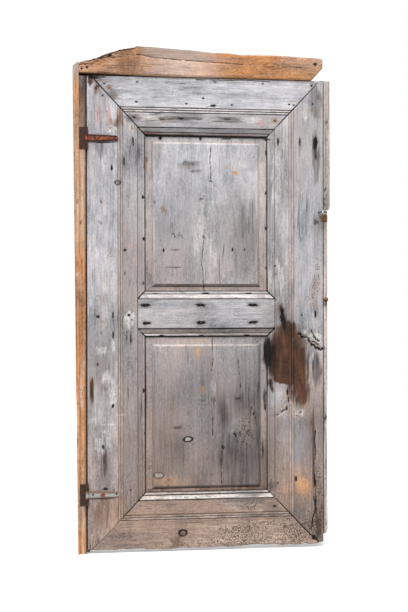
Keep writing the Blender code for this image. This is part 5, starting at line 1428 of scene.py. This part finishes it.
oldBrass = metalMaterial(
    "oldBrass", bare=(124, 92, 48), metallic=0.8, roughness=0.45, cover=0.5, scale=110.0, rust=brassTarnish,
    bump=0.15)

leafNails = dict(
    sink=0.0022, size=0.9,
    face=railNails["places"] + [
        (192, 1800), (494, 1806), (682, 1804), (875, 1800), (189, 1723), (382, 1720), (560, 1718),
        (787, 1725), (805, 1724), (880, 1729), (144, 1154), (41, 899), (836, 903), (165, 233)],
    battenX=(0.09, 0.17, 0.75, 0.83), battenOffset=0.03, battenStagger=0.006, battenSink=0.0018,
    battenSize=1.15, headSink=0.0015, headSize=0.95,
)


def makeNails():
    # heads sunk a little into the face; on each batten two staggered rows, above and below its middle
    originX, originY, originZ = leaf["origin"]
    shells = []
    for x, z in metres(leafNails["face"]):
        seat = (originX + x, originY + leafNails["sink"], originZ + z)
        shells.append(turnedShell(nailForm, seat, -1, leafNails["size"]))
    addPiece("faceNails", shells, nailIron, "leaf")
    shells = []
    for node in ("top_batten", "middle_batten", "bottom_batten"):
        low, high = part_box(node)
        for k, x in enumerate(leafNails["battenX"]):
            middle = (low.z + high.z) / 2 + leafNails["battenStagger"] * (k % 2)
            for side in (-1, 1):
                z = middle + side * leafNails["battenOffset"]
                seat = (originX + x, high.y - leafNails["battenSink"], z)
                shells.append(turnedShell(nailForm, seat, 1, leafNails["battenSize"]))
    addPiece("battenNails", shells, nailIron, "leaf")
    seatY = headBeam["frontY"] + leafNails["headSink"]
    seats = [(x, seatY, z) for x, z in metres(headBeam["nails"])]
    shells = [turnedShell(nailForm, seat, -1, leafNails["headSize"]) for seat in seats]
    addPiece("headNails", shells, nailIron, "frame")


# The first numbers place the screws along each strap
hingeScrews = dict(
    top=(0.032, 0.105), bottom=(0.022, 0.1117), strapStart=0.0055, strapStagger=0.001, strapTurn=(0.6, 1.1),
    sink=0.0026, plateRise=0.032, plateInset=0.0088, plateSize=0.9, plateTurn=0.9,
)


def makeScrews():
    # a row along the middle of each strap, and one screw above and one below it on the plate
    look = hingeScrews
    firstTurn, nextTurn = look["strapTurn"]
    for hinge, slot in (("top", "rusty_steel"), ("bottom", "zinc_steel")):
        low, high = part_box(hinge + "_hinge_strap")
        middle = (low.z + high.z) / 2
        shells = []
        for k, x in enumerate(look[hinge]):
            seat = (low.x + look["strapStart"] + x, high.y - look["sink"], middle + look["strapStagger"] * k)
            shells.append(turnedShell(screwForm, seat, -1, 1.0, firstTurn + nextTurn * k))
        addPiece(hinge + "StrapScrews", shells, nailIron, "leaf")
        low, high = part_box(hinge + "_hinge_plate")
        shells = []
        for side in (-1, 1):
            seat = (low.x + look["plateInset"], high.y - look["sink"], middle + side * look["plateRise"])
            shells.append(turnedShell(screwForm, seat, -1, look["plateSize"], look["plateTurn"] * side))
        addPiece(hinge + "PlateScrews", shells, nailIron, "frame")


makeNails()
makeScrews()
print("nails and screws built")


# CAD metal that keeps its shape and takes a worked finish

metalFinish = {
    "top_hinge_plate": blackIron, "top_hinge_pin": blackIron, "top_hinge_strap": rustyIron,
    "bottom_hinge_plate": blackIron, "bottom_hinge_pin": blackIron, "bottom_hinge_strap": dullZinc,
    "lock_staple": darkSteel, "edge_knob": oldBrass, "shackle": brightSteel,
    "padlock_body": oldBrass, "padlock_plug": brightSteel,
}
for node, material in metalFinish.items():
    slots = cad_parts[node].data.materials
    slots.clear()
    slots.append(material)
print("metal finished")


# Studio: pale floor, soft light from above the camera, white background

studio = dict(
    ambient=0.42, lightAngle=40, keyStrength=3.3, keyTurn=(35, 0, -16), fillStrength=0.5,
    fillTurn=(55, 0, 165), floorSize=14, floorColour=(246, 246, 245), floorBounce=(150, 150, 150),
    floorGlow=0.22, floorRoughness=0.95,
)


def makeStudio():
    # the world shines at the ambient level, and looks white to the camera and in reflections
    world = bpy.data.worlds.new("studioWorld")
    world.use_nodes = True
    tree = world.node_tree
    background = tree.nodes["Background"]
    path = addNode(tree, "ShaderNodeLightPath").outputs
    seen = calc(tree, "MAXIMUM", path["Is Camera Ray"], path["Is Transmission Ray"])
    seen = calc(tree, "MAXIMUM", seen, path["Is Glossy Ray"])
    level = calc(tree, "ADD", studio["ambient"], calc(tree, "MULTIPLY", seen, 1 - studio["ambient"]))
    plug(tree, background.inputs["Color"], (1, 1, 1, 1))
    plug(tree, background.inputs["Strength"], level)
    bpy.context.scene.world = world
    for name in ("key", "fill"):
        lamp = bpy.data.lights.new(name + "Light", "SUN")
        lamp.energy = studio[name + "Strength"]
        lamp.angle = math.radians(studio["lightAngle"])
        holder = bpy.data.objects.new(name + "Light", lamp)
        holder.rotation_euler = [math.radians(turn) for turn in studio[name + "Turn"]]
        bpy.context.scene.collection.objects.link(holder)
    # the floor shines back less light than the camera sees on it
    half = studio["floorSize"] / 2
    places = [(-half, -half, 0), (half, -half, 0), (half, half, 0), (-half, half, 0)]
    mesh = bpy.data.meshes.new("floor")
    mesh.from_pydata(places, [], [(0, 1, 2, 3)])
    material, tree, shader = newMaterial("paleFloor")
    looked = addNode(tree, "ShaderNodeLightPath").outputs["Is Camera Ray"]
    shown = tint(tree, looked, srgb(*studio["floorBounce"]), srgb(*studio["floorColour"]))
    plug(tree, shader.inputs["Base Color"], shown)
    plug(tree, shader.inputs["Emission Color"], (1, 1, 1, 1))
    plug(tree, shader.inputs["Emission Strength"], calc(tree, "MULTIPLY", looked, studio["floorGlow"]))
    shader.inputs["Roughness"].default_value = studio["floorRoughness"]
    mesh.materials.append(material)
    floor = bpy.data.objects.new("floor", mesh)
    bpy.context.scene.collection.objects.link(floor)


# Camera fitted to the picture: the picture is taken as 408 by 612
view = dict(
    place=(-0.0873, -4.2541, 0.9613), yaw=7.513, pitch=-0.194, roll=-0.104,
    focalPixels=1100, pictureHeight=612, sensor=36,
)


def makeCamera():
    # looks along yaw and pitch, then rolls about that line; the lens follows from the focal length in pixels
    yaw, pitch, roll = (math.radians(view[key]) for key in ("yaw", "pitch", "roll"))
    forward = Vector((math.sin(yaw) * math.cos(pitch), math.cos(yaw) * math.cos(pitch), math.sin(pitch)))
    level = Vector((math.cos(yaw), -math.sin(yaw), 0))
    upright = level.cross(forward)
    right = math.cos(roll) * level + math.sin(roll) * upright
    up = math.cos(roll) * upright - math.sin(roll) * level
    camera = bpy.data.objects.new("camera", bpy.data.cameras.new("camera"))
    camera.data.sensor_width = view["sensor"]
    camera.data.lens = view["sensor"] * view["focalPixels"] / view["pictureHeight"]
    turn = Matrix((right, up, -forward)).transposed().to_4x4()
    camera.matrix_world = Matrix.Translation(view["place"]) @ turn
    bpy.context.scene.collection.objects.link(camera)
    bpy.context.scene.camera = camera
    bpy.context.scene.view_settings.view_transform = "Standard"


makeStudio()
makeCamera()
print("studio ready")
